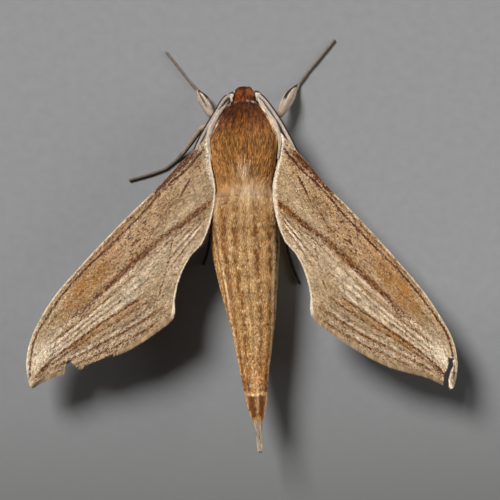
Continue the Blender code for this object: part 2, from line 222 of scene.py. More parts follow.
ABDOMEN_LINES = [  # inner brown line, outer brown line and cream line, left and right
    [smooth(tuple(zip(places, values))) for values in pair]
    for places, pair in (
        (
            (-16.0, -12.0, -8.5, -5.5, 0.0, 3.0),
            ((0.54, 0.46, 0.38, 0.33, 0.30, 0.30), (0.40, 0.38, 0.38, 0.36, 0.32, 0.30)),
        ),
        (
            (-16.0, -12.0, -8.5, -5.5, -2.5, 0.5, 3.0),
            ((0.83, 0.82, 0.78, 0.66, 0.65, 0.61, 0.60), (0.83, 0.82, 0.76, 0.74, 0.73, 0.71, 0.70)),
        ),
        (
            (-12.0, -8.5, -5.5, -2.5, 0.5, 5.0),
            ((0.97, 0.91, 0.80, 0.76, 0.75, 0.80), (0.93, 0.89, 0.84, 0.84, 0.85, 0.84)),
        ),
    )
]


def body_marks(y, turn):
    """The moth's markings on its body, with painted light on the right of the abdomen and painted shade on
    its left rim.
    """
    side = np.cos(turn)  # -1 at the left edge, 1 at the right
    edge = np.abs(side)
    top = ramp(np.sin(turn), -0.15, 0.12)
    x = side * half_width(y)
    streaks = flecks(x, y, 0.20, 1.5, 11)
    strands = flecks(x, y, 0.15, 0.8, 15)
    fine = flecks(x, y, 0.17, 0.30, 12)
    grit = flecks(x, y, 0.19, 0.22, 14)
    patch = flecks(x, y, 0.8, 1.1, 13)

    front = y + 0.16 * (x + 0.05) ** 2
    head = ramp(front, 16.56, 16.70)
    thorax = ramp(y, 5.0, 7.4) * (1 - head)
    abdomen = 1 - ramp(y, 5.0, 7.4)

    # Head and thorax: rust in front, golden brown behind, a beige patch over the waist.
    rust = head * 0.95 + thorax * (0.85 * ramp(y, 11.5, 15.8) + 0.10 * ramp(y, 8.0, 11.5))
    rust += thorax * 0.25 * ramp(edge, 0.72, 0.97) * ramp(y, 5.5, 8.0)
    limit, crown = np.where(side < 0, white_left(y), white_right(y)), crown_reach(y)
    dark = thorax * (0.20 * ramp(y, 11.0, 14.0) + 0.56 * ramp(y, 13.2, 16.4))
    dark += head * (0.10 + 0.85 * ramp(y, 17.35, 17.90))
    dark += head * 0.75 * ramp(np.abs(x), crown - 0.42, crown - 0.12)
    dark += thorax * (0.2 + 0.7 * ramp(y, 7.5, 11.5)) * unit(streaks - 0.58)
    dark += thorax * 0.12 * hump(x, 0.05, 0.5) * hump(y, 11.2, 1.6) * patch
    beige = np.maximum(
        0.92 * hump(x, 0.35, 2.1) * hump(y, 6.4, 1.5),
        0.72 * hump(x, -0.30, 1.1) * hump(y, 8.9, 1.3),
    )
    beige = np.clip(beige * (1 - head) * (0.88 + 0.5 * (patch - 0.5)) * ramp(y, 4.2, 5.6), 0, 1)
    side_white = 0.90 * ramp(edge, limit - 0.04, limit + 0.04) * (1 - head)
    cheek = head * ramp(np.abs(x), crown - 0.05, crown + 0.05)
    collar = hump(front, 16.68, 0.10) * (0.15 + 0.45 * ramp(x, -0.2, 0.4) + 0.4 * ramp(-x, 1.1, 1.5))
    belly = 1 - top
    pale = np.maximum.reduce([beige, side_white, cheek * 0.80, collar])

    # The abdomen: a pale line down the middle, brown lines beside it, and a cream
    # stripe along each edge with an orange-gold side beyond it.
    cells = flecks(x, y, 0.30, 0.48, 17)
    inner, outer, cream_at = (np.where(side < 0, left(y), right(y)) for left, right in ABDOMEN_LINES)
    lines = 0.52 * hump(edge, inner, 0.095) + 0.62 * hump(edge, outer, 0.080) + 0.22 * hump(side, 0, 0.05)
    lines = lines * np.clip(2.2 * cells - 0.35, 0, 1.25) * (0.45 + 0.55 * ramp(-y, -4.5, 0.0))
    lines += 0.45 * hump(edge, cream_at + 0.08, 0.03) * np.clip(1.9 * streaks - 0.15, 0, 1.3)
    mid_line = (hump(edge, 0.12, 0.09) + 0.6 * hump(edge, 0.5 * (inner + outer), 0.06)) * 0.30
    cream = hump(edge, cream_at, 0.040) * ramp(fine, 0.20, 0.50) * (0.55 + 0.45 * ramp(-y, -2.0, 1.0))
    cream += 0.6 * hump(edge, cream_at + 0.12, 0.025) * ramp(grit, 0.35, 0.6)
    bars = 0.45 * ramp(np.cos(2 * np.pi * (y / 1.22 + 0.12 * np.sin(2.1 * x))), 0.45, 0.95)
    bars = bars * hump(edge, 0.35, 0.35) * np.clip(2.2 * (1 - cells) - 0.4, 0, 1.2)
    rim = ramp(edge, 0.955, 0.985) * 0.85 * ramp(grit, 0.3, 0.6)
    gold = ramp(edge, 0.80, 0.88) * 0.55 + 0.40 * hump(edge, 0.66, 0.07)
    orange = 0.26 * ramp(-y, 4.0, 14.0) + 0.55 * hump(y, -15.2, 1.5)
    ring = hump(((y - BRUSH) / PLATE + 0.5) % 1.0, 0.5, 0.035)
    dark_abdomen = lines * (1 - ramp(-y, 16.3, 16.9)) + 0.20 * ring
    dark_abdomen += 1.5 * unit(grit - 0.60) + 0.8 * unit(fine - 0.62)
    spots = hump(edge, 0.50, 0.27) * ramp(-y, 16.8, 17.1) * (1 - ramp(-y, 19.0, 19.5))
    dark_abdomen += 1.5 * spots * (0.55 + 0.7 * grit)
    dark_abdomen += 0.35 * hump(y, -15.4, 0.9) * ramp(edge, 0.45, 0.8)
    dark_abdomen += 0.14 * ramp(y, -1.0, 2.5)
    dark_abdomen += 0.30 * ramp(-y, 10.0, 15.5) * fine
    # painted shade: the left rim of the abdomen is painted darker, where the lamp lights it
    dark_abdomen += 0.30 * ramp(-side, 0.93, 0.99)
    rear = ramp(edge, 0.80, 0.95) * ramp(-y, 16.6, 17.0) * (1 - ramp(-y, 19.2, 19.6))
    band = hump(y, -16.75, 0.18) * 0.60 * (0.5 + grit)
    tail = ramp(-y, 19.5, 20.0)
    pale_abdomen = np.maximum.reduce([mid_line, cream, rim, bars, rear * 0.8, band, tail * 0.55])
    pale_abdomen += 1.2 * unit(0.36 - grit) + 0.5 * unit(patch - 0.6)
    # painted light: the right flank of the abdomen, turned from the lamp, is painted paler
    pale_abdomen += 0.40 * ramp(side, 0.72, 0.88) * ramp(y, -11.0, -7.0)
    pale_abdomen += 0.9 * hump(y, -10.4, 0.10) * hump(side, 0.25, 0.16)

    warm = rust * (1 - side_white) + abdomen * top * (gold + orange) * (1 - tail)
    dark = dark * top * (1 - side_white) * (1 - cheek) * (1 - 0.8 * beige) + abdomen * top * dark_abdomen
    pale += abdomen * top * pale_abdomen
    pale = pale * top + belly * np.where(y > 16.3, 0.75, 0.80)
    warm = warm * top
    calm = 0.40 + 0.60 * ramp(y, 7.0, 11.0)
    tone = 0.5 + 0.45 * (streaks - 0.5) * calm + 1.1 * (strands - 0.5) * (1 - abdomen) * calm
    rough = 0.26 + 0.39 * abdomen + 1.0 * head + 0.5 * thorax * ramp(y, 14.0, 15.6)
    tone += rough * (grit - 0.5) + 0.25 * (patch - 0.5)
    # painted light: the right half of the abdomen is painted lighter, its right flank most, where it turns
    # from the lamp
    tone += 0.24 * abdomen * ramp(side, 0.25, 0.75) * ramp(-y, -3.0, 1.0)
    tone += 0.60 * abdomen * ramp(side, 0.74, 0.90) * ramp(y, -11.0, -7.0)
    return marks_of(warm, dark, pale, tone)


def placed(points):
    """Millimetres of the moth's own measure to metres in the frame."""
    return np.asarray(points) * MM + MOTH_AT


def paint(red, green, blue):
    """A colour off a paint chart, 0 to 255, as the shader takes it."""
    chart = np.array((red, green, blue)) / 255
    light = np.where(chart <= 0.04045, chart / 12.92, ((chart + 0.055) / 1.055) ** 2.4)
    return (*(float(v) for v in light), 1.0)


def node(tree, kind, sockets=(), **settings):
    """A new shader node, each socket set or wired to another's output; gives its outputs."""
    new = tree.nodes.new(kind)
    for name, value in settings.items():
        setattr(new, name, value)
    for socket, value in dict(sockets).items():
        if isinstance(value, bpy.types.NodeSocket):
            tree.links.new(value, new.inputs[socket])
        else:
            new.inputs[socket].default_value = value
    return new.outputs


def material_of(name, sockets):
    """A new material, and its tree, with these sockets of its shader set."""
    material = bpy.data.materials.new(name)
    material.use_nodes = True
    for socket, value in sockets.items():
        material.node_tree.nodes["Principled BSDF"].inputs[socket].default_value = value
    return material, material.node_tree


def wire(tree, **outputs):
    """Outputs of nodes to the sockets of the material's shader."""
    for socket, output in outputs.items():
        tree.links.new(output, tree.nodes["Principled BSDF"].inputs[socket.replace("_", " ")])


def coat_colours():
    """The group that every skin and coat of the moth shares: marks in, colours out."""
    group = bpy.data.node_groups.new("coat_colours", "ShaderNodeTree")
    for name, kind, value in (
        ("Ground", "NodeSocketColor", paint(165, 138, 108)),
        ("Warm", "NodeSocketColor", paint(160, 110, 60)),
        ("Dark", "NodeSocketColor", paint(70, 45, 30)),
        ("Pale", "NodeSocketColor", paint(215, 200, 180)),
        ("Spread", "NodeSocketFloat", 0.7),
        ("Rough", "NodeSocketFloat", 0.6),
        ("Grain", "NodeSocketFloat", 9.0),
    ):
        group.interface.new_socket(name, in_out="INPUT", socket_type=kind).default_value = value
    for name, kind in (
        ("Colour", "NodeSocketColor"), ("Roughness", "NodeSocketFloat"), ("Height", "NodeSocketFloat"),
    ):
        group.interface.new_socket(name, in_out="OUTPUT", socket_type=kind)
    given, outside = node(group, "NodeGroupInput"), group.nodes.new("NodeGroupOutput")

    def maths(operation, first, second):
        return node(group, "ShaderNodeMath", {0: first, 1: second}, operation=operation)[0]

    def mark(name):
        return node(group, "ShaderNodeAttribute", attribute_name=name)["Fac"]

    place = node(group, "ShaderNodeTexCoord")["Object"]
    in_mm = node(group, "ShaderNodeVectorMath", {"Scale": 1 / MM, 0: place}, operation="SCALE")[0]
    noise = node(
        group, "ShaderNodeTexNoise", {"Detail": 3.0, "Vector": in_mm, "Scale": given["Grain"]}
    )["Fac"]
    grain = maths("SUBTRACT", noise, 0.5)

    colour = given["Ground"]
    for name, socket in (("warm", "Warm"), ("pale", "Pale"), ("dark", "Dark")):
        factor = maths("ADD", mark(name), maths("MULTIPLY", grain, maths("MULTIPLY", mark(name), 0.5)))
        sockets = {"Factor": factor, "A": colour, "B": given[socket]}
        colour = node(group, "ShaderNodeMix", sockets, data_type="RGBA")["Result"]
    swing = maths("MULTIPLY", maths("SUBTRACT", mark("tone"), 0.5), given["Spread"])
    value = maths("ADD", maths("ADD", swing, 1.0), maths("MULTIPLY", grain, 0.25))
    bright = node(group, "ShaderNodeHueSaturation", {"Value": value, "Color": colour})["Color"]
    rough = maths("ADD", given["Rough"], maths("MULTIPLY", grain, 0.3))
    for socket, output in (("Colour", bright), ("Roughness", rough), ("Height", noise)):
        group.links.new(output, outside.inputs[socket])
    return group


COAT = coat_colours()
BUMP_DEEP = 0.00002  # metres


def coat_material(name, ground, warm, dark, pale, spread=0.7, rough=0.6):
    """The look of one kind of fur or scales, in its four colours."""
    material, tree = material_of(
        name, {"Sheen Weight": 0.02, "Sheen Roughness": 0.4, "Specular IOR Level": 0.2}
    )
    colours = tree.nodes.new("ShaderNodeGroup")
    colours.node_tree = COAT
    for socket, value in (
        ("Ground", ground), ("Warm", warm), ("Dark", dark), ("Pale", pale),
        ("Spread", spread), ("Rough", rough),
    ):
        colours.inputs[socket].default_value = value
    colours = colours.outputs
    bump = {"Strength": 0.3, "Distance": BUMP_DEEP, "Height": colours["Height"]}
    normal = node(tree, "ShaderNodeBump", bump)["Normal"]
    wire(tree, Base_Color=colours["Colour"], Roughness=colours["Roughness"], Normal=normal)
    return material


def shown(name, data):
    """A thing of the scene, made from its mesh, light or camera."""
    thing = bpy.data.objects.new(name, data)
    bpy.context.scene.collection.objects.link(thing)
    return thing


def cast(name, bm, materials=(), smooth_faces=True):
    """A thing of the scene from the faces that have been made for it."""
    mesh = bpy.data.meshes.new(name)
    bm.to_mesh(mesh)
    bm.free()
    if smooth_faces:
        mesh.shade_smooth()
    for material in materials:
        mesh.materials.append(material)
    return shown(name, mesh)


def bent_grid(columns, rows, places, surface, marks, out):
    """A flat grid, bent to a surface and carrying its marks."""
    bm = bmesh.new()
    bmesh.ops.create_grid(bm, x_segments=columns, y_segments=rows, size=1.0)
    s, t = places(*np.array([corner.co[:2] for corner in bm.verts]).T)
    for mark, values in marks(s, t).items():
        layer = bm.verts.layers.float.new(mark)
        for corner, value in zip(bm.verts, values):
            corner[layer] = value
    for corner, point in zip(bm.verts, placed(surface(s, t, out))):
        corner.co = point
    return bm


def skin(name, surface, start, end, rings, sides, marks, material):
    """A closed skin: a grid bent round the surface, joined along its seam and at its ends."""

    def places(a, b):
        return start + (end - start) * (a + 1) / 2, math.pi * b

    bm = bent_grid(rings, sides, places, surface, marks, 0.0)
    bmesh.ops.remove_doubles(bm, verts=bm.verts, dist=1e-6)
    bmesh.ops.holes_fill(bm, edges=bm.edges)
    bmesh.ops.recalc_face_normals(bm, faces=bm.faces)
    piece = cast(name, bm, [material])
    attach(piece, "root")
    return piece


thorax_paint = coat_material(
    "thorax_fur", paint(176, 122, 62), paint(128, 66, 20), paint(50, 20, 6), paint(222, 194, 158),
    spread=1.3, rough=0.7,
)
abdomen_paint = coat_material(
    "abdomen_scales", paint(180, 135, 78), paint(190, 124, 50), paint(106, 60, 24),
    paint(238, 206, 158), spread=0.95,
)
body = skin("body_skin", body_surface, TAIL_END, FOREHEAD, 200, 96, body_marks, abdomen_paint)
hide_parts("head", "thorax", "abdomen", "tail_tuft")
body.data.materials.append(thorax_paint)
for face in body.data.polygons:
    if face.center.y > MOTH_AT[1] + WAIST * MM:
        face.material_index = 1

# ---- Coat of the body ---------------------------------------------------------------
# Hair-like scales on head and thorax, flat overlapping scales on the abdomen and a
# brush of long ones at the tail. Each is a thin closed blade, rooted in the skin, that
# lies back along the body over the ones behind it.
BLADE_FACES = np.array(((0, 1, 4), (1, 2, 4), (2, 3, 4), (3, 0, 4), (0, 3, 2), (2, 1, 0)))
BLADE_PATCH = np.array(((0, -1), (1, 0), (0, 1), (-1, 0), (0, 0))) * 0.0015


def blades(name, surface, at, step, outs, width, rib, unwrap, marks, material, bend=0.45):
    """Small blades laid over a surface, each from its root `at` to its tip a step further."""
    s, t = at
    ds, dt = step
    root = surface(s, t, outs[0])
    middle = surface(s + bend * ds, t + bend * dt, outs[1])
    tip = surface(s + ds, t + dt, outs[2])
    up = surface(s + bend * ds, t + bend * dt, outs[1] + 0.5) - middle
    up /= np.linalg.norm(up, axis=1, keepdims=True)
    side = np.cross(tip - root, up)
    side /= np.maximum(np.linalg.norm(side, axis=1, keepdims=True), 1e-9)
    reach = side * np.broadcast_to(width, s.shape)[:, None] / 2
    corners = np.stack([root, middle + reach, tip, middle - reach, middle + up * rib], axis=1)
    count = len(s)
    faces = BLADE_FACES[None] + 5 * np.arange(count)[:, None, None]
    mesh = bpy.data.meshes.new(name)
    mesh.vertices.add(5 * count)
    mesh.vertices.foreach_set("co", placed(corners).astype(np.float32).ravel())
    mesh.loops.add(18 * count)
    mesh.loops.foreach_set("vertex_index", faces.astype(np.int32).ravel())
    mesh.polygons.add(6 * count)
    mesh.polygons.foreach_set("loop_start", np.arange(0, 18 * count, 3, dtype=np.int32))
    mesh.update(calc_edges=True)
    patches = np.clip(np.stack(unwrap, axis=1), 0.002, 0.998)[:, None] + BLADE_PATCH
    layer = mesh.uv_layers.new(name="OFBake")
    layer.data.foreach_set("uv", patches.reshape(-1, 2)[faces.ravel()].astype(np.float32).ravel())
    for mark, values in marks.items():
        layer = mesh.attributes.new(mark, "FLOAT", "POINT")
        layer.data.foreach_set("value", np.repeat(values, 5).astype(np.float32))
    mesh.shade_flat()
    mesh.materials.append(material)
    piece = shown(name, mesh)
    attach(piece, "root")
    return piece


def jitter(random, like):
    """A chance number for each place, from -0.5 to 0.5."""
    return random.random(like.shape) - 0.5


def scatter(s_range, t_range, s_gap, t_gap, seed):
    """Places about this far apart, each moved a little from its row and column."""
    random = np.random.default_rng(seed)
    rows = np.arange(*s_range, s_gap)
    columns = np.arange(*t_range, t_gap)
    s, t = (grid.ravel() for grid in np.meshgrid(rows, columns, indexing="ij"))
    s = s + jitter(random, s) * s_gap * 1.3
    t = t + jitter(random, t) * t_gap * 1.3
    return s, t, random


def body_coat(
    name, y_range, turn_range, gap, length, width, lift, seed, material,
    lean=None, rib=0.03, grain=0.8, odd=0.0,
):
    """One field of the body's coat, evenly thick over a body that narrows."""
    widest = float(np.max(half_width(np.linspace(*y_range, 50))))
    y, turn, random = scatter(y_range, turn_range, gap[0], gap[1] / widest, seed)
    keep = random.random(y.shape) < (half_width(y) + 0.1) / (widest + 0.1)
    y, turn = y[keep], turn[keep]
    long = length(y) * (0.75 + 0.5 * random.random(y.shape))
    drift = jitter(random, y) * 0.34
    if lean is not None:
        drift += lean(y, turn)
    marks = body_marks(y - 0.3 * long, turn)
    rough = 0.35 + 0.65 * ramp(np.abs(y - 6.3), 0.8, 4.5)  # the coat is evenest over the waist
    marks["tone"] = unit(marks["tone"] + rough * grain * jitter(random, y))
    chance = random.random(y.shape)
    marks["dark"] = unit(marks["dark"] + 0.5 * rough * (chance > 0.92))
    marks["pale"] = unit(marks["pale"] + 0.40 * (chance < odd))
    unwrap = [
        (place - low) / (high - low) for place, (low, high) in ((turn, turn_range), (y, y_range))
    ]
    tip = lift(y, turn) * (0.6 + 0.8 * random.random(y.shape))
    piece = blades(
        name, body_surface, (y, turn), (-long, long * drift / (half_width(y) + 0.3)),
        (-0.02, 0.55 * tip + 0.02, tip), width * (0.7 + 0.6 * random.random(y.shape)), rib,
        unwrap, marks, material,
    )
    return piece


def toward_middle(y, turn):
    """Thorax hair draws in to the middle of the back behind the shoulders."""
    return 0.55 * np.cos(turn) * np.abs(np.sin(turn)) * hump(y, 9.5, 3.0)


def thorax_lift(y, turn):
    """Fur lies flat over the waist and stands highest along the flanks, against the wings."""
    flank = hump(np.abs(np.cos(turn)), 0.88, 0.14) * hump(y, 8.5, 3.6) * (np.sin(turn) > 0)
    return 0.08 + 0.16 * ramp(y, 7.0, 11.0) + 0.12 * flank


def scale_lift(y, turn):
    return 0.12 + 0 * y


body_coat(
    "thorax_fur_back", (5.2, 16.35), (-0.15, math.pi + 0.15), (0.105, 0.070),
    smooth([(5.2, 0.75), (8.0, 1.0), (11.0, 1.3), (13.0, 1.4), (15.5, 0.9), (16.35, 0.6)]),
    0.12, thorax_lift, 21, thorax_paint, toward_middle, rib=0.05, grain=1.1,
)
body_coat(
    "thorax_fur_belly", (5.4, 16.35), (math.pi + 0.15, 2 * math.pi - 0.15), (0.14, 0.11),
    smooth([(5.4, 1.1), (8.0, 1.5), (13.0, 1.5), (16.35, 0.8)]), 0.13, thorax_lift, 22,
    thorax_paint,
)
body_coat(
    "abdomen_scales_back", (BRUSH, WAIST), (-0.12, math.pi + 0.12), (0.085, 0.085),
    smooth([(BRUSH, 0.36), (-12.0, 0.42), (WAIST, 0.55)]), 0.14, scale_lift, 23,
    abdomen_paint, rib=0.04, odd=0.10,
)
body_coat(
    "abdomen_scales_belly", (BRUSH, WAIST), (math.pi + 0.12, 2 * math.pi - 0.12), (0.13, 0.12),
    smooth([(BRUSH, 0.6), (WAIST, 0.95)]), 0.16, scale_lift, 24,
    abdomen_paint,
)
tail_paint = coat_material(
    "tail_hair", paint(168, 146, 120), paint(176, 120, 70), paint(84, 58, 38),
    paint(206, 190, 170), spread=1.0,
)
body_coat(
    "tail_brush", (-23.0, -19.4), (0.0, 2 * math.pi), (0.05, 0.05),
    smooth([(-23.0, 0.45), (-21.0, 1.1), (-19.4, 1.3)]), 0.08, scale_lift, 25,
    tail_paint,
)

# ---- Coat of the head -----------------------------------------------------------------
# Short rust-brown hair on the crown, brushed forward over the face in front and back over
# a cream collar behind. The pieces are the smallest of the coat.
head_paint = coat_material(
    "crown_fur", paint(158, 92, 40), paint(130, 66, 22), paint(40, 18, 8), paint(206, 192, 174),
    spread=1.6, rough=0.7,
)


def head_lift(y, turn):
    return 0.18 + 0 * y


body_coat(
    "head_fur", (16.15, 17.60), (0.0, 2 * math.pi), (0.050, 0.055),
    smooth([(16.15, 0.45), (17.2, 0.5), (17.6, 0.40)]), 0.075, head_lift, 31,
    head_paint, rib=0.04, grain=1.0,
)


def forehead_surface(y, turn, out):
    """The face rounds forward, so its hair stands out ahead as well as up."""
    points = body_surface(y, turn, out)
    points[..., 1] += np.asarray(out) * ramp(y, 17.2, 17.9)
    return points


y, turn, random = scatter((17.20, 17.99), (0.0, 2 * math.pi), 0.030, 0.055, 32)
long = np.minimum(0.42 * (0.7 + 0.6 * random.random(y.shape)), 18.05 - y)
marks = body_marks(y + 0.5 * long, turn)
marks["tone"] = unit(marks["tone"] + 1.0 * jitter(random, y))
stands = 0.17 - 0.13 * ramp(y, 17.65, 18.0)  # the hair closes over the point of the face
forelock = blades(
    "face_fur", forehead_surface, (y, turn), (long, 0.5 * jitter(random, y)),
    (0.0, 0.7 * stands, stands), 0.080, 0.035, (turn / (2 * math.pi), (y - 17.2) / 0.79), marks,
    head_paint,
)

# ---- White scales of brow and shoulders -------------------------------------------------
# A white fringe over each eye, and a white pad of scales from the neck along the side of
# the thorax to the root of the fore wing, over the wing's hinge.
white_paint = coat_material(
    "white_scales", paint(176, 159, 142), paint(160, 122, 90), paint(70, 46, 34),
    paint(224, 210, 196), spread=1.0,
)
SHOULDERS = {  # from the brow to the hinge of the wing: x, y, z, radius
    -1: (
        (-1.32, 17.45, 4.50, 0.15), (-1.58, 17.00, 4.66, 0.24), (-1.86, 16.60, 4.78, 0.25),
        (-2.18, 16.05, 4.94, 0.22), (-2.96, 15.00, 5.28, 0.29), (-3.58, 14.00, 5.46, 0.40),
        (-3.96, 13.00, 5.72, 0.34), (-4.13, 12.20, 5.98, 0.27), (-4.08, 11.40, 6.10, 0.22),
        (-3.90, 10.60, 6.14, 0.17), (-3.66, 9.70, 6.14, 0.13),
    ),
    1: (
        (1.50, 17.48, 4.50, 0.15), (1.74, 17.00, 4.66, 0.25), (1.92, 16.55, 4.78, 0.27),
        (2.14, 16.05, 4.94, 0.26), (2.70, 15.00, 5.28, 0.29), (3.34, 14.00, 5.46, 0.39),
        (3.72, 13.00, 5.72, 0.34), (3.94, 12.20, 5.98, 0.27), (3.96, 11.40, 6.10, 0.22),
        (3.84, 10.60, 6.14, 0.17), (3.66, 9.70, 6.14, 0.13),
    ),
}


def limb(joints, depth, joint_every=0.0, swell=0.0):
    """A surface round a line of joints: places are the length along it and the turn round it."""
    joints = np.array(joints, float)
    lengths = np.concatenate([[0], np.cumsum(np.linalg.norm(np.diff(joints[:, :3], axis=0), axis=1))])
    whole = lengths[-1]
    places = np.linspace(0, whole, int(whole / 0.06) + 1)
    line = np.stack([np.interp(places, lengths, joints[:, i]) for i in range(4)], axis=1)
    for _ in range(8):
        line[1:-1] = (line[:-2] + 2 * line[1:-1] + line[2:]) / 4
    way = np.gradient(line[:, :3], axis=0)
    way /= np.linalg.norm(way, axis=1, keepdims=True)
    right = np.cross(way, (0.0, 0.0, 1.0))
    right /= np.linalg.norm(right, axis=1, keepdims=True)
    up = np.cross(right, way)

    def surface(length, turn, out):
        length, turn, out = np.broadcast_arrays(length, turn, out)
        at, sides, ups = (
            np.stack([np.interp(length, places, values[:, i]) for i in range(3)], axis=-1)
            for values in (line, right, up)
        )
        radius = np.interp(length, places, line[:, 3]) - depth
        if joint_every:
            radius = radius * (1 + swell * (((length / joint_every) % 1.0) - 0.5))
        radius = radius * np.sqrt(np.clip(np.minimum(length, whole - length) / 0.12, 0.0, 1.0)) + out
        return at + radius[..., None] * (np.cos(turn)[..., None] * sides + np.sin(turn)[..., None] * ups)

    return surface, whole


def shoulder_marks(side):
    def marks(length, turn):
        fine = flecks(length, turn, 0.25, 0.4, 33)
        inner = hump(side * np.cos(turn), 0.85, 0.30)
        # painted shade: the outer side of each pad is painted dark for the shaded gap between body and
        # feeler, less on the left
        outer = ramp(-side * np.cos(turn), 0.62, 0.85) * (0.35 if side < 0 else 1.0)
        dark, pale = 1.2 * (fine - 0.62) + 0.9 * outer, 0.10 + 0.45 * fine + 0.6 * inner
        return marks_of(0.3 * fine, dark, pale, 0.5 + 0.6 * (fine - 0.5))

    return marks


for word, side in SIDES:
    surface, whole = limb(SHOULDERS[side], 0.10)
    pad = skin(f"shoulder_skin_{word}", surface, 0.0, whole, 60, 20, shoulder_marks(side), white_paint)
    length, turn, random = scatter((0.0, whole - 0.3), (-math.pi, math.pi), 0.055, 0.20, 34 + side)
    marks = shoulder_marks(side)(length, turn)
    marks["tone"] = unit(marks["tone"] + 0.8 * jitter(random, length))
    long = np.minimum(0.6 + 0.5 * random.random(length.shape), whole - length)
    cover = blades(
        f"shoulder_scales_{word}", surface, (length, turn), (long, 0.5 * jitter(random, length)),
        (-0.02, 0.06, 0.10), 0.09, 0.03, ((turn + math.pi) / (2 * math.pi), length / whole), marks,
        white_paint,
    )

    # the brow, a lid of white scales over the upper half of the eye
    low, high = (np.array(corner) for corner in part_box(f"eye_{word}"))
    eye_middle, eye_half = ((low + high) / 2 - MOTH_AT) / MM, (high - low) / 2 / MM

    def lid_surface(s, t, out, side=side, eye_middle=eye_middle, eye_half=eye_half):
        s, t, out = np.broadcast_arrays(s, t, out)
        x, y, z = eye_middle
        wide, deep, tall = eye_half
        return np.stack([
            x + side * (0.8 * wide + out) * np.cos(s) * np.sin(t), y + (0.88 * deep + out) * np.sin(s),
            z + (tall + out) * np.cos(s) * np.cos(t),
        ], axis=-1)

    s, t, random = scatter((-1.25, 0.72), (-0.25, 1.15), 0.045, 0.075, 36 + side)
    brow = blades(
        f"brow_scales_{word}", lid_surface, (s, t),
        (-0.30 * random.random(s.shape), 0.30 + 0.15 * random.random(s.shape)), (-0.02, 0.03, 0.05),
        0.10, 0.02, ((t + 0.25) / 1.45, (s + 1.25) / 2.05),
        marks_of(
            0 * s, 0.5 * (random.random(s.shape) > 0.93), 0.2 + 0.6 * random.random(s.shape),
            random.random(s.shape),
        ),
        white_paint,
    )

# ---- Eyes -----------------------------------------------------------------------------
# Dark compound eyes at the sides of the head, each a polished dome of six-sided lenses.
# They sit in sockets that the face scales close round.
EYE_SHARE = 0.92  # of the eye's own box, as the socket's rim covers the rest
eye_paint, tree = material_of(
    "eye_shell", {"Specular IOR Level": 0.7, "Coat Weight": 0.6, "Coat Roughness": 0.08}
)
place = node(tree, "ShaderNodeTexCoord")["Object"]
lenses = node(
    tree, "ShaderNodeTexVoronoi", {"Vector": place, "Scale": 14000.0}, feature="DISTANCE_TO_EDGE"
)["Distance"]
rims = node(tree, "ShaderNodeValToRGB", {"Fac": lenses})["Color"]
rims.node.color_ramp.elements[0].color = paint(24, 16, 12)
rims.node.color_ramp.elements[1].color = paint(62, 40, 26)
rims.node.color_ramp.elements[1].position = 0.25
gloss = node(tree, "ShaderNodeMapRange", {"To Min": 0.45, "To Max": 0.15, "Value": lenses})["Result"]
dome = node(tree, "ShaderNodeBump", {"Strength": 0.4, "Distance": BUMP_DEEP, "Height": lenses})["Normal"]
wire(tree, Base_Color=rims, Roughness=gloss, Normal=dome)
for word, side in SIDES:
    low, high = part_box(f"eye_{word}")
    bm = bmesh.new()
    bmesh.ops.create_icosphere(bm, subdivisions=5, radius=0.5)
    bmesh.ops.scale(bm, vec=(high - low) * EYE_SHARE, verts=bm.verts)
    bmesh.ops.translate(bm, vec=(low + high) / 2, verts=bm.verts)
    eye = cast(f"eye_dome_{word}", bm, [eye_paint])
    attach(eye, "root")
    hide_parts(f"eye_{word}")

# ---- Palps -----------------------------------------------------------------------------
# The two blunt mouth feelers that close the front of the face, thick with upright scales:
# rust-brown above and white beneath. The coiled tongue held between them is not built.
PALP_LEAN = math.radians(28)
PALP_HALF = [half - 0.12 for half in (0.46, 0.62, 0.95)]  # under scales 0.12 deep
for word, side in SIDES:
    low, high = (np.array(corner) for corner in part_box(f"palp_{word}"))
    palp_at = ((low + high) / 2 - MOTH_AT) / MM
    palp_at[0] = HEAD_MIDDLE[0] + side * 0.52

    def palp_surface(share, turn, out, palp_at=palp_at):
        share, turn, out = np.broadcast_arrays(share, turn, out)
        wide, deep, tall = (half + out for half in PALP_HALF)
        ring = np.sin(np.pi * unit(share))
        x = wide * ring * np.cos(turn)
        y = deep * ring * np.sin(turn)
        z = tall * -np.cos(np.pi * unit(share))
        lean_y = y * math.cos(PALP_LEAN) - z * math.sin(PALP_LEAN)
        lean_z = y * math.sin(PALP_LEAN) + z * math.cos(PALP_LEAN)
        return np.stack([palp_at[0] + x, palp_at[1] + lean_y, palp_at[2] + lean_z], axis=-1)

    def palp_marks(share, turn):
        share = np.asarray(share, float)
        upper = ramp(share, 0.10, 0.26)
        return marks_of(0.95 * upper, 0.1 + 0.6 * upper, 0.85 * (1 - upper), 0.5 + 0 * share)

    palp = skin(f"palp_skin_{word}", palp_surface, 0.0, 1.0, 24, 24, palp_marks, head_paint)
    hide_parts(f"palp_{word}")
    share, turn, random = scatter((0.04, 0.97), (-math.pi, math.pi), 0.030, 0.13, 41 + side)
    marks = palp_marks(share, turn)
    marks["tone"] = 0.5 + 0.5 * jitter(random, share)
    palp_coat = blades(
        f"palp_scales_{word}", palp_surface, (share, turn),
        (0.17 + 0.06 * random.random(share.shape), 0.3 * jitter(random, share)),
        (-0.02, 0.05, 0.10), 0.08, 0.015, ((turn + math.pi) / (2 * math.pi), share), marks, head_paint,
    )

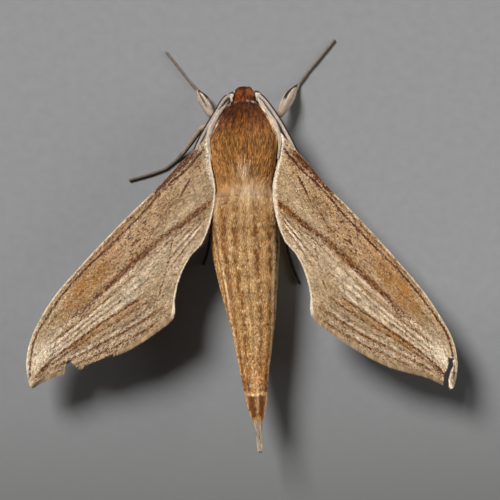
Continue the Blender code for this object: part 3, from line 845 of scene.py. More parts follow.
# ---- Fore wings -------------------------------------------------------------------------
# Long pointed wings: a thin stiff membrane, gently pleated between its veins, with rows
# of flat scales above and below. Places on a wing are given along it, from the hinge to
# the tip, and across it, towards the tail, in millimetres.
FOREWING_FRONT = (
    (0.0, -0.30), (2.0, -0.55), (7.4, -1.42), (13.0, -2.46), (20.0, -3.48), (25.5, -3.95),
    (30.0, -3.44), (32.6, -2.40), (34.2, -1.10), (35.0, -0.08),
)
FOREWING_BACK = (
    (0.0, 0.45), (2.0, 1.45), (4.6, 4.00), (7.4, 5.48), (10.2, 6.25), (12.4, 6.06),
    (15.0, 6.50), (17.3, 7.45), (18.9, 8.45), (20.7, 8.15), (24.5, 6.70), (28.5, 4.55),
    (31.8, 1.80), (33.8, 0.58), (35.0, 0.08),
)
FOREWING_HINGE = (3.90, 12.50, 5.95)
FOREWING_SWEEP = {-1: math.radians(37.8), 1: math.radians(31.9)}
FOREWING_NOTCH = (
    (22.9, 8.60), (23.1, 7.10), (24.5, 6.56), (27.1, 5.05), (28.6, 4.12), (29.8, 3.32),
    (30.2, 2.86), (29.85, 1.70), (30.4, 1.72), (31.2, 2.05), (31.6, 3.60), (30.0, 6.00),
)
FOREWING_TEAR = (
    (31.70, -1.68), (32.13, -2.06), (32.85, -1.66), (33.14, -1.09), (33.81, -0.31),
    (34.45, 0.05), (34.75, 0.95), (34.00, 0.95), (33.95, 0.50), (32.98, -0.36), (32.56, -1.12),
)
FRINGE = ((0.0, 0.10), (17.5, 0.12), (19.5, 0.42), (33.0, 0.42), (35.0, 0.15))
FOREWING_LONG, HINDWING_LONG = 35.0, 18.4
WING_THICK, SCALE_LIFT = 0.22, 0.05  # the membrane, and how high the tips of its scales stand
front_edge, back_edge, fringe = smooth(FOREWING_FRONT), smooth(FOREWING_BACK), smooth(FRINGE)


def front_line(along, side):
    """The front edge as each wing shows it: the right one is drawn a little further under."""
    if side > 0:
        return front_edge(along) + 0.26 * ramp(along, 3.0, 9.0) * (1 - ramp(along, 26.0, 31.0))
    return front_edge(along) - 0.20 * hump(along, 4.6, 2.6)


def wing_plan(along, across, side, hinge, turn):
    """Places on a wing to x and y."""
    x = hinge[0] + along * math.sin(turn) - across * math.cos(turn)
    y = hinge[1] - along * math.cos(turn) - across * math.sin(turn)
    return side * x, y


def pleats(along, across):
    """Shallow folds that fan out towards the outer edge."""
    fan = across - 0.16 * (26 - along)
    return 0.022 * np.sin(2 * np.pi * fan / 0.95) * ramp(along, 8, 22) * ramp(across, -2.2, -0.6)


def forewing_surface(side, face=1):
    """The upper face of a fore wing, or with -1 its under face."""

    def surface(along, across, out):
        along, across, out = np.broadcast_arrays(along, across, out)
        front, back = front_edge(along), back_edge(along)
        share = unit((across - front) / np.maximum(back - front, 0.1))
        x, y = wing_plan(along, across, side, FOREWING_HINGE, FOREWING_SWEEP[side])
        arch = 0.45 * np.sin(np.pi * share) * np.sin(np.pi * np.minimum(1, along / 18) / 2)
        z = FOREWING_HINGE[2] + arch - (along / FOREWING_LONG) ** 2 + 0.10 * across * np.minimum(1, along / 8)
        return np.stack([x, y, z + pleats(along, across) + face * (WING_THICK / 2 + out)], axis=-1)

    return surface


# Streaks of the upper side: mark, half width, depth, then places along and across.
FOREWING_STREAKS = (
    # the two dark roots of the front edge, and the fine line that runs on from them
    ("root", 0.25, 1.20, (
        (1.9, -0.12), (3.0, -0.28), (4.0, -0.42), (5.0, -0.57), (6.0, -0.74), (7.0, -0.92), (8.5, -1.18),
        (9.6, -1.38),
    )),
    ("dark", 0.06, 1.20, ((2.2, -0.32), (3.5, -0.55), (5.0, -0.78), (7.0, -1.12))),
    ("dark", 0.12, 1.25, ((1.2, 0.50), (3.0, 0.32), (5.0, 0.10), (6.5, -0.28), (8.5, -0.66))),
    ("dark", 0.08, 0.55, ((2.6, 0.05), (4.5, -0.25), (6.5, -0.62), (8.0, -0.95), (10.5, -1.30))),
    ("own", 0.10, 1.10, ((4.9, 0.88), (6.2, 0.98), (7.0, 1.10), (8.0, 1.22))),
    ("dark", 0.07, 0.45, ((8.2, 1.28), (10.0, 1.10), (11.6, 1.28), (13.6, 0.95))),
    ("dark", 0.11, 0.95, (
        (7.6, -0.56), (9.0, -0.72), (11.0, -0.93), (12.0, -1.02), (13.0, -1.20), (14.0, -1.38),
        (16.0, -1.70), (18.0, -2.10), (20.0, -2.48), (22.0, -2.78), (24.0, -2.98), (27.0, -3.12),
        (30.0, -2.95), (33.0, -1.62), (34.6, -0.45),
    )),
    ("dark", 0.07, 0.40, ((8.0, -1.05), (12.0, -1.62), (16.0, -2.25), (21.0, -3.02), (25.0, -3.40))),
    # the long brown band from the inner edge towards the tip, and the line beside it
    ("main", 0.36, 1.00, (
        (5.6, 4.70), (7.0, 4.28), (8.0, 3.98), (9.0, 3.70), (10.0, 3.38), (11.0, 3.04), (12.0, 2.66),
        (13.0, 2.34), (14.0, 2.12), (16.0, 1.64), (18.0, 1.18), (20.0, 0.76), (22.0, 0.26), (23.4, -0.02),
    )),
    ("main", 0.32, 0.70, (
        (20.5, 0.66), (22.0, 0.36), (23.0, 0.18), (24.0, 0.02), (25.0, -0.32), (26.5, -0.95),
    )),
    ("main", 0.26, 0.30, ((25.0, -0.45), (26.0, -0.85), (28.0, -1.50), (30.0, -2.00))),
    ("dark", 0.10, 0.75, ((19.0, 0.72), (20.0, 0.70), (21.4, 0.62))),
    ("main", 0.10, 0.62, (
        (9.0, 4.20), (11.0, 3.74), (12.0, 3.42), (13.0, 3.20), (15.0, 2.88), (17.0, 2.52), (19.0, 2.02),
        (21.0, 1.60), (22.0, 1.38), (23.0, 1.10), (24.0, 0.80), (25.0, 0.48), (26.0, 0.12),
        (27.0, -0.22), (28.0, -0.60), (29.0, -0.98), (30.5, -1.45),
    )),
    # short lines that fan out from the inner edge
    ("main", 0.085, 0.70, ((6.6, 4.92), (8.0, 4.70), (9.0, 4.60), (11.0, 4.30), (13.0, 3.98))),
    ("main", 0.085, 0.85, ((7.2, 5.20), (9.0, 5.00), (11.0, 4.80), (12.5, 4.66), (14.5, 4.50))),
    ("main", 0.085, 0.75, ((8.6, 5.44), (11.0, 5.30), (13.0, 5.22), (15.4, 5.18))),
    # the darkest line, from the middle of the outer edge to the tip, and its fellow below
    ("main", 0.14, 1.25, (
        (19.2, 4.46), (20.0, 4.22), (21.0, 3.82), (22.0, 3.42), (23.0, 3.02), (24.0, 2.64),
        (25.0, 2.28), (26.0, 1.88), (27.0, 1.48), (28.0, 1.10), (29.0, 0.72), (30.0, 0.40),
        (31.0, 0.12), (32.0, -0.08), (34.4, -0.24),
    )),
    ("main", 0.12, 0.80, (
        (18.4, 5.60), (20.0, 5.10), (21.0, 4.70), (22.0, 4.30), (23.0, 3.90), (24.0, 3.42),
        (25.0, 2.96), (26.0, 2.46), (27.0, 2.02), (28.0, 1.60), (29.0, 1.20), (30.0, 0.80),
        (31.0, 0.50), (32.0, 0.22), (34.0, -0.05),
    )),
    ("warm", 0.34, 0.70, (
        (19.0, 4.80), (21.0, 4.30), (23.0, 3.45), (25.0, 2.65), (27.0, 1.75), (29.5, 0.80),
    )),
    # fine grey lines between the two
    ("dark", 0.07, 0.34, (
        (14.0, 3.85), (17.0, 3.42), (19.0, 2.72), (21.0, 2.15), (22.0, 1.98), (23.0, 1.72),
        (24.0, 1.38), (26.0, 0.72), (28.0, 0.08), (31.0, -1.00),
    )),
    ("dark", 0.075, 0.40, (
        (15.5, 4.15), (18.0, 3.68), (20.0, 3.20), (21.0, 2.82), (22.0, 2.50), (23.0, 2.20),
        (24.0, 1.88), (25.0, 1.50), (26.0, 1.12), (27.0, 0.86), (28.0, 0.50), (29.0, 0.12),
        (31.5, -0.55),
    )),
    # brown bands towards the outer edge
    ("main", 0.15, 0.75, (
        (18.4, 7.25), (20.0, 6.70), (22.0, 5.88), (24.0, 4.98), (25.0, 4.45), (26.0, 3.90),
        (28.0, 2.76), (30.0, 1.70), (31.0, 1.15), (32.5, 0.55),
    )),
    ("main", 0.13, 0.65, (
        (20.0, 7.75), (22.0, 7.02), (24.0, 6.05), (25.0, 5.55), (26.0, 5.00), (27.0, 4.32),
        (28.0, 3.75), (29.0, 3.10), (31.0, 2.00),
    )),
    ("dark", 0.16, 0.22, (
        (19.0, 6.20), (22.0, 5.20), (24.0, 4.20), (26.0, 3.10), (28.0, 2.15), (30.0, 1.25),
    )),
    ("dark", 0.12, 0.30, ((21.5, -1.22), (23.0, -1.40), (25.0, -1.95), (27.0, -2.35), (29.0, -2.55))),
    # veins and the small spot in the middle of the wing
    ("own", 0.055, 0.75, (
        (11.4, 3.02), (13.0, 3.72), (15.0, 4.66), (16.0, 4.98), (17.0, 5.34), (18.4, 5.90),
    )),
    ("dark", 0.050, 0.50, ((24.6, 0.20), (26.0, 0.42), (27.4, 1.00))),
    ("dark", 0.050, 0.60, ((28.3, -1.05), (30.0, -0.42), (31.6, 0.25))),
    ("dark", 0.045, 0.40, ((17.2, 3.10), (19.0, 3.90), (20.6, 4.50))),
    ("dark", 0.045, 0.40, ((29.4, 1.35), (30.4, 1.70), (31.2, 2.20))),
    ("dark", 0.10, 1.00, ((13.95, 0.62), (14.4, 0.34), (15.05, 0.12))),
    # paler strips between them
    ("pale", 0.16, 0.45, (
        (16.0, 2.10), (18.5, 1.62), (20.5, 1.16), (22.5, 0.58), (24.5, -0.02), (27.0, -0.82),
        (29.0, -1.45),
    )),
    ("pale", 0.13, 0.55, (
        (18.0, 2.70), (20.0, 2.28), (22.0, 1.68), (24.0, 1.10), (26.0, 0.42), (28.0, -0.26),
        (30.5, -1.10),
    )),
    ("pale", 0.13, 0.50, (
        (18.0, 3.35), (20.0, 2.88), (22.0, 2.24), (24.0, 1.62), (26.0, 0.92), (28.0, 0.30),
        (30.5, -0.45),
    )),
    ("pale", 0.13, 0.45, (
        (18.0, 4.15), (20.0, 3.70), (22.0, 2.95), (24.0, 2.22), (26.0, 1.50), (28.0, 0.80),
        (30.5, -0.10),
    )),
    ("pale", 0.10, 0.45, ((8.0, 5.00), (10.0, 4.72), (13.0, 4.35))),
    ("pale", 0.10, 0.55, ((8.4, 5.25), (10.0, 5.12), (13.0, 4.95))),
    ("pale", 0.16, 0.45, (
        (19.0, 6.55), (22.0, 5.55), (24.0, 4.60), (26.0, 3.48), (28.0, 2.45), (30.5, 1.20),
    )),
    ("pale", 0.14, 0.35, (
        (20.0, 7.25), (22.0, 6.50), (24.0, 5.55), (26.0, 4.50), (28.0, 3.30), (30.0, 2.20),
    )),
)


def streak(along, across, width, points):
    """How deep a painted line is at each place, fading out at its two ends."""
    middle = smooth(points)
    start, end = points[0][0], points[-1][0]
    fade = min(1.2, (end - start) / 3)
    ends = ramp(along, start - 0.2, start + fade) * (1 - ramp(along, end - fade, end + 0.2))
    return np.exp(-np.abs((across - middle(along)) / width) ** 3) * ends


def forewing_marks(side):
    """The upper side's markings: the streaks, then softer clouds, specks and white edges."""

    def marks(along, across):
        front, back = front_line(along, side), back_edge(along)
        drawn = across + 0.25 * (side < 0) * (1 - ramp(along, 24, 29))  # drawn higher on the left
        broken = flecks(along, across, 0.7, 0.13, 51)
        fine = flecks(along, across, 0.26, 0.16, 52)
        cloud = flecks(along, across, 2.0, 0.7, 53)
        grit = flecks(along, across, 0.20, 0.15, 54)
        warm = 0.55 * hump(along, 21.0, 6.0) * hump(drawn, -1.8, 1.25)
        warm += 0.48 * ramp(along, 7, 17) * (1 - ramp(along, 24, 29)) * hump(drawn, -0.8, 1.8)
        warm = warm * (0.55 + 0.9 * broken)
        dark = np.zeros_like(along)
        pale = np.zeros_like(along)
        for kind, width, depth, points in FOREWING_STREAKS:
            ragged = (across if kind == "own" else drawn) + 0.10 * (fine - 0.5) + 0.06 * (grit - 0.5)
            line = depth * streak(along, ragged, 1.1 * width, points)
            if kind == "warm":
                warm = np.maximum(warm, line)
            elif kind == "pale":
                pale = np.maximum(pale, line * (0.7 + 0.5 * broken))
            elif kind == "main":
                dark = np.maximum(dark, 0.58 * line * (0.30 + 1.2 * broken))
                warm = np.maximum(warm, 1.0 * line)
            elif kind == "root":
                dark = np.maximum(dark, line * (0.42 + 0.5 * broken))
                warm = np.maximum(warm, 1.0 * line)
            else:
                dark = np.maximum(dark, line * (0.75 + 0.5 * broken))
        upper = (1 - ramp(drawn, 0.8, 2.6)) * (1 - ramp(along, 15, 24))
        speck = unit((fine - 0.74) * 7.0) * (0.25 + 0.75 * cloud)
        dark = np.maximum(dark, speck * (0.30 + 0.45 * upper))
        dark += unit(grit - 0.52) * (0.40 + 1.0 * upper)
        warm += 0.30 * upper * ramp(along, 1.5, 3.0)
        lower = ramp(drawn, 3.2, 5.0) * ramp(along, 15, 22)
        dark += 0.16 * lower * (0.4 + cloud)
        dark += 0.30 * hump(along, 24.0, 1.4) * hump(drawn, 0.1, 0.45) * (0.4 + broken)
        dark += 0.16 * hump(along, 27.0, 1.8) * (hump(drawn, -0.6, 0.5) + hump(drawn, 3.6, 0.8))
        dark += 0.22 * hump(along, 30.3, 1.5) * hump(drawn, 1.2, 0.5)
        pale += 0.80 * hump(along, 31.6, 3.0) * hump(drawn, -1.2, 0.85)
        pale += 0.30 * hump(along, 30.2, 1.4) * hump(drawn, 0.0, 0.6)
        pale += 0.18 * ramp(drawn, 1.0, 3.4) * ramp(along, 8, 12) * (1 - ramp(along, 12, 18))
        pale += 0.35 * hump(along, 18.5, 3.5) * hump(drawn, 3.2, 0.8)
        pale += 0.20 * hump(along, 15.0, 3.0) * hump(drawn, -0.6, 1.0)
        pale += 0.30 * (1 - ramp(along, 1.0, 3.5))
        pale += 0.30 * unit(cloud - 0.4) + 0.30 * unit(0.35 - grit)
        pale = np.maximum(pale, 0.75 * hump(across, front + 0.10, 0.10) * ramp(along, 6.0, 7.5))
        margin = 0.42 - 0.20 * ramp(along, 8.0, 11.0)
        inner = (1 - ramp(along, 18.6, 20.0)) * ramp(across, back - margin, back - 0.55 * margin)
        x, y = wing_plan(along, across, side, FOREWING_HINGE, FOREWING_SWEEP[side])
        from_body = side * x - body_reach(side, x, y)
        white = 0.62 * hump(along, 3.4, 1.6) if side < 0 else 0.15 * hump(along, 3.0, 2.5)
        by_body = (1 - ramp(from_body, 0.40 + 0.6 * white, 0.62 + white)) * (1 - ramp(along, 7.5, 9.5))
        edging = np.maximum(inner, by_body)
        if side > 0:  # the curled white rim of the torn tip
            tear = np.interp(along, (32.1, 32.85, 33.14, 33.81, 34.45), (-2.06, -1.66, -1.09, -0.31, 0.05))
            curl = ramp(across, tear - 0.34, tear - 0.20) * ramp(along, 32.2, 32.6)
            edging = np.maximum(edging, curl * (1 - ramp(across, tear + 0.02, tear + 0.1)))
        pale = np.maximum(pale, edging)
        dark = dark * (1 - 0.9 * edging)
        warm = warm * (1 - edging)
        tone = 0.5 + 0.45 * (broken - 0.5) + 0.75 * (grit - 0.5) + 0.25 * (cloud - 0.5)
        return marks_of(warm, dark, pale, tone)

    return marks


def body_reach(side, x, y, z=5.9):
    """How far out the body comes beside a wing, as a distance from the middle plane."""
    share = np.clip((z - middle_z(y)) / rise(y), 0, 1)
    return side * middle_x(y) + (half_width(y) + 0.8 * flank_full(y)) * np.sqrt(1 - share * share)


def inside_outline(x, y, outline):
    """Whether each place lies inside a closed outline."""
    inside = np.zeros(np.shape(x), bool)
    for (x0, y0), (x1, y1) in zip(outline, outline[1:] + outline[:1]):
        crosses = (y0 > y) != (y1 > y)
        inside ^= crosses & (x < x0 + (y - y0) * (x1 - x0) / (y1 - y0 + 1e-12))
    return inside


def under_marks(along, across):
    """The plainer under side: brown, paler towards the tip."""
    streaks = flecks(along, across, 1.2, 0.2, 61)
    fine = flecks(along, across, 0.22, 0.12, 62)
    return marks_of(
        0.4 + 0.3 * (streaks - 0.5),
        0.25 * (0.6 + 0.8 * streaks) + 0.3 * unit((fine - 0.75) * 4),
        0.3 * ramp(along, 24, 33) + 0 * across,
        0.5 + 0.4 * (fine - 0.5),
    )


forewing_paint = coat_material(
    "forewing_scales", paint(172, 144, 107), paint(158, 108, 46), paint(80, 38, 18),
    paint(228, 209, 182), spread=1.0, rough=0.55,
)
forewing_under_paint = coat_material(
    "forewing_underside", paint(178, 120, 66), paint(190, 116, 52), paint(96, 62, 40),
    paint(196, 164, 128), spread=0.7, rough=0.6,
)


def wing_plate(name, surface, marks, edges, length, columns, rows, material, worn=None):
    """The membrane: a grid bent to the wing's outline and given its thickness."""

    def places(a, b):
        along = length * (1.0 - (1.0 - (a + 1) / 2) ** 1.35)  # closer set towards the tip
        along = np.clip(along, 0.0, length)
        low, high = (edge(along) for edge in edges)
        return along, low + (high - low) * (b + 1) / 2

    bm = bent_grid(columns, rows, places, surface, marks, -WING_THICK / 2)
    bmesh.ops.recalc_face_normals(bm, faces=bm.faces)
    plate = cast(name, bm, [material])
    solid = plate.modifiers.new("thickness", "SOLIDIFY")
    solid.thickness = WING_THICK * MM
    solid.offset = 0.0
    if worn is not None:
        bm = bmesh.new()
        low_face = bm.faces.new([bm.verts.new(placed((x, y, 3.0))) for x, y in worn])
        roof = bmesh.ops.extrude_face_region(bm, geom=[low_face])["geom"]
        lift = [part for part in roof if isinstance(part, bmesh.types.BMVert)]
        bmesh.ops.translate(bm, vec=(0, 0, 5 * MM), verts=lift)
        bmesh.ops.recalc_face_normals(bm, faces=bm.faces)
        cutter = cast(f"{name}_worn", bm, smooth_faces=False)
        cut = plate.modifiers.new("worn_edge", "BOOLEAN")
        cut.operation = "DIFFERENCE"
        cut.object = cutter
    bpy.context.view_layer.update()
    graph = bpy.context.evaluated_depsgraph_get()
    whole = bpy.data.meshes.new_from_object(plate.evaluated_get(graph))
    plate.modifiers.clear()
    plate.data = whole
    whole.name = name
    if worn is not None:
        bpy.data.objects.remove(cutter)
    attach(plate, "root")
    return plate


def wing_scales(name, surface, marks, edges, length, gap, size, seed, material, side, plan, worn=None):
    """Rows of scales over one face of a wing, fanned out towards its outer edge."""
    front, back = edges
    along, across, random = scatter((0.2, length), (-4.2, 8.6), gap, gap, seed)
    low, high = front(along), back(along)
    share = (across - low) / np.maximum(high - low, 0.05)
    heading = (front(along + 0.3) - front(along - 0.3)) / 0.6 * (1 - share)
    heading = heading - 0.26 * share + 0.16 * jitter(random, along)
    long = size[0] * (0.75 + 0.5 * random.random(along.shape))
    tip_along, tip_across = along + long, across + long * heading
    keep = (across > low + 0.06) & (across < high - 0.05) & (tip_along < length)
    keep &= (tip_across > front(tip_along) - 0.04) & (tip_across < back(tip_along) + 0.02)
    x, y = plan(along, across)
    keep &= side * x > body_reach(side, x, y) - 0.1
    if worn is not None:
        keep &= ~inside_outline(along, across, worn)
        keep &= ~inside_outline(tip_along - 0.08, tip_across, worn)
    thickness, chance = random.random(along.shape), random.random(along.shape)
    along, across, long, heading, thickness, chance = (
        values[keep] for values in (along, across, long, heading, thickness, chance)
    )
    spots = marks(along + 0.8 * long, across + 0.8 * long * heading)
    spots["tone"] = unit(spots["tone"] + 0.7 * (thickness - 0.5))
    spots["dark"] = unit(0.55 * spots["dark"] + 0.7 * (chance < 0.9 * spots["dark"]))
    spots["pale"] = unit(spots["pale"] + 0.35 * (chance > 0.90))
    return blades(
        name, surface, (along, across), (long, long * heading),
        (-0.015, 0.5 * SCALE_LIFT + 0.015, SCALE_LIFT * (0.6 + 0.8 * thickness)),
        size[1] * (0.8 + 0.4 * thickness), 0.025,
        (along / length, (across + 4.2) / 12.8 if length > 20 else (across + 2.2) / 7.2),
        spots, material, bend=0.55,
    )


for word, side in SIDES:
    worn = FOREWING_NOTCH if side < 0 else FOREWING_TEAR
    over = forewing_surface(side)
    marks = forewing_marks(side)

    def plan(along, across, side=side):
        return wing_plan(along, across, side, FOREWING_HINGE, FOREWING_SWEEP[side])

    def membrane_front(along, side=side):
        return front_line(along, side) + 0.05

    def membrane_back(along):
        return back_edge(along) - fringe(along)

    edges = membrane_front, membrane_back
    plate = wing_plate(
        f"forewing_skin_{word}", over, marks, edges, 34.85, 180, 60, forewing_paint,
        [plan(along, across) for along, across in worn],
    )
    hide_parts(f"forewing_{word}")
    top = wing_scales(
        f"forewing_scales_top_{word}", over, marks, edges, 34.95, 0.105, (0.36, 0.115), 71 + side,
        forewing_paint, side, plan, worn,
    )
    below = wing_scales(
        f"forewing_scales_under_{word}", forewing_surface(side, -1), under_marks, edges, 34.9, 0.17,
        (0.55, 0.20), 73 + side, forewing_under_paint, side, plan, worn,
    )

# ---- Fringes -------------------------------------------------------------------------------
# A comb of fine hair-scales along the outer and inner margins of each fore wing, white
# along the inner edge and tan outside, worn short where the wing is torn.
for word, side in SIDES:
    worn = FOREWING_NOTCH if side < 0 else FOREWING_TEAR
    random = np.random.default_rng(81 + side)
    along = np.sort(np.concatenate([random.uniform(17.6, 34.8, 2600), random.uniform(1.5, 17.6, 900)]))
    edge = back_edge(along) - fringe(along) - 0.06 - 0.10 * random.random(along.shape)
    slope = (back_edge(along + 0.2) - back_edge(along - 0.2)) / 0.4
    outward = np.stack([-slope, np.ones_like(slope)], axis=1)
    outward /= np.linalg.norm(outward, axis=1, keepdims=True)
    onward = np.stack([outward[:, 1], slope * outward[:, 1]], axis=1)
    lean = np.where(along > 18.8, 0.55, 0.9)[:, None]
    way = outward * (1 - 0.3 * lean) + lean * onward
    way /= np.linalg.norm(way, axis=1, keepdims=True)
    long = (fringe(along) + 0.16) * (0.8 + 0.35 * random.random(along.shape)) * 1.15
    x, y = wing_plan(along, edge, side, FOREWING_HINGE, FOREWING_SWEEP[side])
    keep = side * x > body_reach(side, x, y) - 0.05
    keep &= ~inside_outline(along, edge, worn)
    keep &= ~inside_outline(along + 0.5 * way[:, 0] * long, edge + 0.5 * way[:, 1] * long, worn)
    keep &= along + way[:, 0] * long < FOREWING_LONG
    along, edge, way, long = along[keep], edge[keep], way[keep], long[keep]
    white = 1 - ramp(along, 18.4, 19.4)
    tan_spots = 0.30 * (1 - white) * (flecks(along, edge, 0.35, 5, 82) > 0.5)
    hairs = blades(
        f"forewing_fringe_{word}", forewing_surface(side), (along, edge),
        (way[:, 0] * long, way[:, 1] * long), (0.0, 0.02, -0.03), 0.075, 0.015,
        (along / FOREWING_LONG, (edge + 4.2) / 12.8),
        marks_of(
            0.25 * (1 - white), tan_spots, 0.95 * white + 0.15 * (1 - white),
            0.5 + 0.6 * jitter(random, along),
        ),
        forewing_paint,
    )

# ---- Hind wings ----------------------------------------------------------------------------
# Short wings folded under the fore wings, so that only their fringes peep out beside the
# abdomen. Dark brown, with a paler band before the outer edge.
HINDWING_FRONT = ((0.0, -0.25), (3.0, -1.2), (8.0, -2.0), (13.0, -1.9), (17.0, -0.9), (18.4, -0.08))
HINDWING_BACK = (
    (0.0, 0.3), (2.0, 2.1), (5.0, 4.0), (7.7, 4.85), (9.5, 4.45), (12.5, 3.5), (16.0, 1.75),
    (18.4, 0.08),
)
HINDWING_HINGE = (3.60, 9.50, 5.02)
HINDWING_SWEEP = {-1: math.radians(41.5), 1: math.radians(36.0)}
hind_front, hind_back = smooth(HINDWING_FRONT), smooth(HINDWING_BACK)


def hindwing_surface(side, face=1):
    def surface(along, across, out):
        along, across, out = np.broadcast_arrays(along, across, out)
        low, high = hind_front(along), hind_back(along)
        share = unit((across - low) / np.maximum(high - low, 0.1))
        x, y = wing_plan(along, across, side, HINDWING_HINGE, HINDWING_SWEEP[side])
        droop = 0.55 * (np.clip(along, 0, None) / HINDWING_LONG) ** 1.5
        z = HINDWING_HINGE[2] + 0.2 * np.sin(np.pi * share) - droop + 0.05 * across
        return np.stack([x, y, z + face * (WING_THICK / 2 + out)], axis=-1)

    return surface


def hindwing_marks(along, across):
    high = hind_back(along)
    broken = flecks(along, across, 0.8, 0.2, 91)
    band = hump(across, high - 1.3, 0.5) * ramp(along, 3.0, 7.0)
    edge = ramp(across, high - 0.35, high - 0.15)
    dark = unit(0.8 - 0.8 * band - edge) * (0.8 + 0.2 * broken)
    return marks_of(0.2 * broken, dark, 0.35 * band + 0.8 * edge, 0.2 + 0.6 * broken)


hindwing_paint = coat_material(
    "hindwing_scales", paint(168, 128, 90), paint(176, 116, 66), paint(52, 34, 26),
    paint(222, 204, 178), spread=0.7, rough=0.6,
)
for word, side in SIDES:

    def plan(along, across, side=side):
        return wing_plan(along, across, side, HINDWING_HINGE, HINDWING_SWEEP[side])

    edges = hind_front, hind_back
    plate = wing_plate(
        f"hindwing_skin_{word}", hindwing_surface(side), hindwing_marks, edges, 18.3, 90, 30,
        hindwing_paint,
    )
    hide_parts(f"hindwing_{word}")
    for place_name, face, seed in (("top", 1, 93), ("under", -1, 95)):
        scales = wing_scales(
            f"hindwing_scales_{place_name}_{word}", hindwing_surface(side, face), hindwing_marks,
            edges, 18.35, 0.14, (0.45, 0.16), seed + side, hindwing_paint, side, plan,
        )

# ---- Feelers ---------------------------------------------------------------------------------
# Rod-shaped feelers laid back over the shoulders along the front of each fore wing. Each
# is some forty-five short joints on a thicker first one, scaled white above, bare below.
FEELERS = {
    -1: (
        (-1.70, 17.18, 5.10, 0.25), (-2.12, 16.86, 5.16, 0.27), (-2.46, 16.42, 5.18, 0.27),
        (-2.80, 15.90, 5.12, 0.27), (-3.28, 15.15, 4.97, 0.28), (-4.08, 13.95, 4.84, 0.29),
        (-4.84, 12.70, 4.80, 0.30), (-5.38, 11.70, 4.78, 0.30), (-5.78, 10.65, 4.74, 0.30),
        (-6.20, 9.70, 4.66, 0.28), (-6.52, 9.00, 4.58, 0.26), (-6.56, 8.55, 4.50, 0.25),
    ),
    1: (
        (1.84, 17.10, 5.10, 0.25), (2.12, 16.86, 5.16, 0.27), (2.48, 16.46, 5.18, 0.27),
        (2.98, 15.75, 5.10, 0.27), (3.38, 15.15, 4.97, 0.28), (4.10, 13.95, 4.84, 0.29),
        (4.72, 12.70, 4.80, 0.30), (5.22, 11.70, 4.78, 0.30), (5.68, 10.65, 4.74, 0.30),
        (6.16, 9.70, 4.66, 0.28), (6.52, 9.00, 4.58, 0.26), (6.56, 8.55, 4.50, 0.25),
    ),
}


def antenna_marks(side):
    def marks(length, turn):
        over = ramp(np.sin(turn), -0.25, 0.25)
        rings = hump(((length / 0.21) % 1.0), 0.5, 0.16)
        # painted shade: the outer edge is painted dark for the feeler's shaded side and the shadow beside it,
        # the inner edge for the shaded slit against the shoulder pad
        outer = ramp(-side * np.cos(turn), 0.28, 0.54)
        inner = ramp(side * np.cos(turn), 0.72, 0.88) * 0.7
        dark = np.maximum.reduce([0.95 * (1 - over), outer, inner]) + 0.35 * rings
        pale = 0.85 * over * (1 - 0.6 * outer)
        return marks_of(0.25 * (1 - over), dark, pale, 0.5 + 0.3 * (rings - 0.5))

    return marks


feeler_paint = coat_material(
    "feeler_scales", paint(172, 150, 128), paint(140, 96, 62), paint(42, 25, 18),
    paint(210, 196, 182), spread=0.9, rough=0.55,
)
for word, side in SIDES:
    surface, whole = limb(FEELERS[side], 0.05, 0.21, 0.22)
    feeler = skin(
        f"feeler_skin_{word}", surface, 0.0, whole, 260, 14, antenna_marks(side), feeler_paint
    )
    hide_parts(f"antenna_{word}")
    length, turn, random = scatter((0.05, whole - 0.25), (-0.5, math.pi + 0.5), 0.045, 0.24, 101 + side)
    marks = antenna_marks(side)(length, turn)
    marks["tone"] = 0.5 + 0.6 * jitter(random, length)
    cover = blades(
        f"feeler_scales_{word}", surface, (length, turn),
        (0.20 + 0.06 * random.random(length.shape), 0 * turn), (-0.01, 0.02, 0.05), 0.075, 0.01,
        (length / whole, (turn + 0.5) / (math.pi + 1)), marks, feeler_paint,
    )
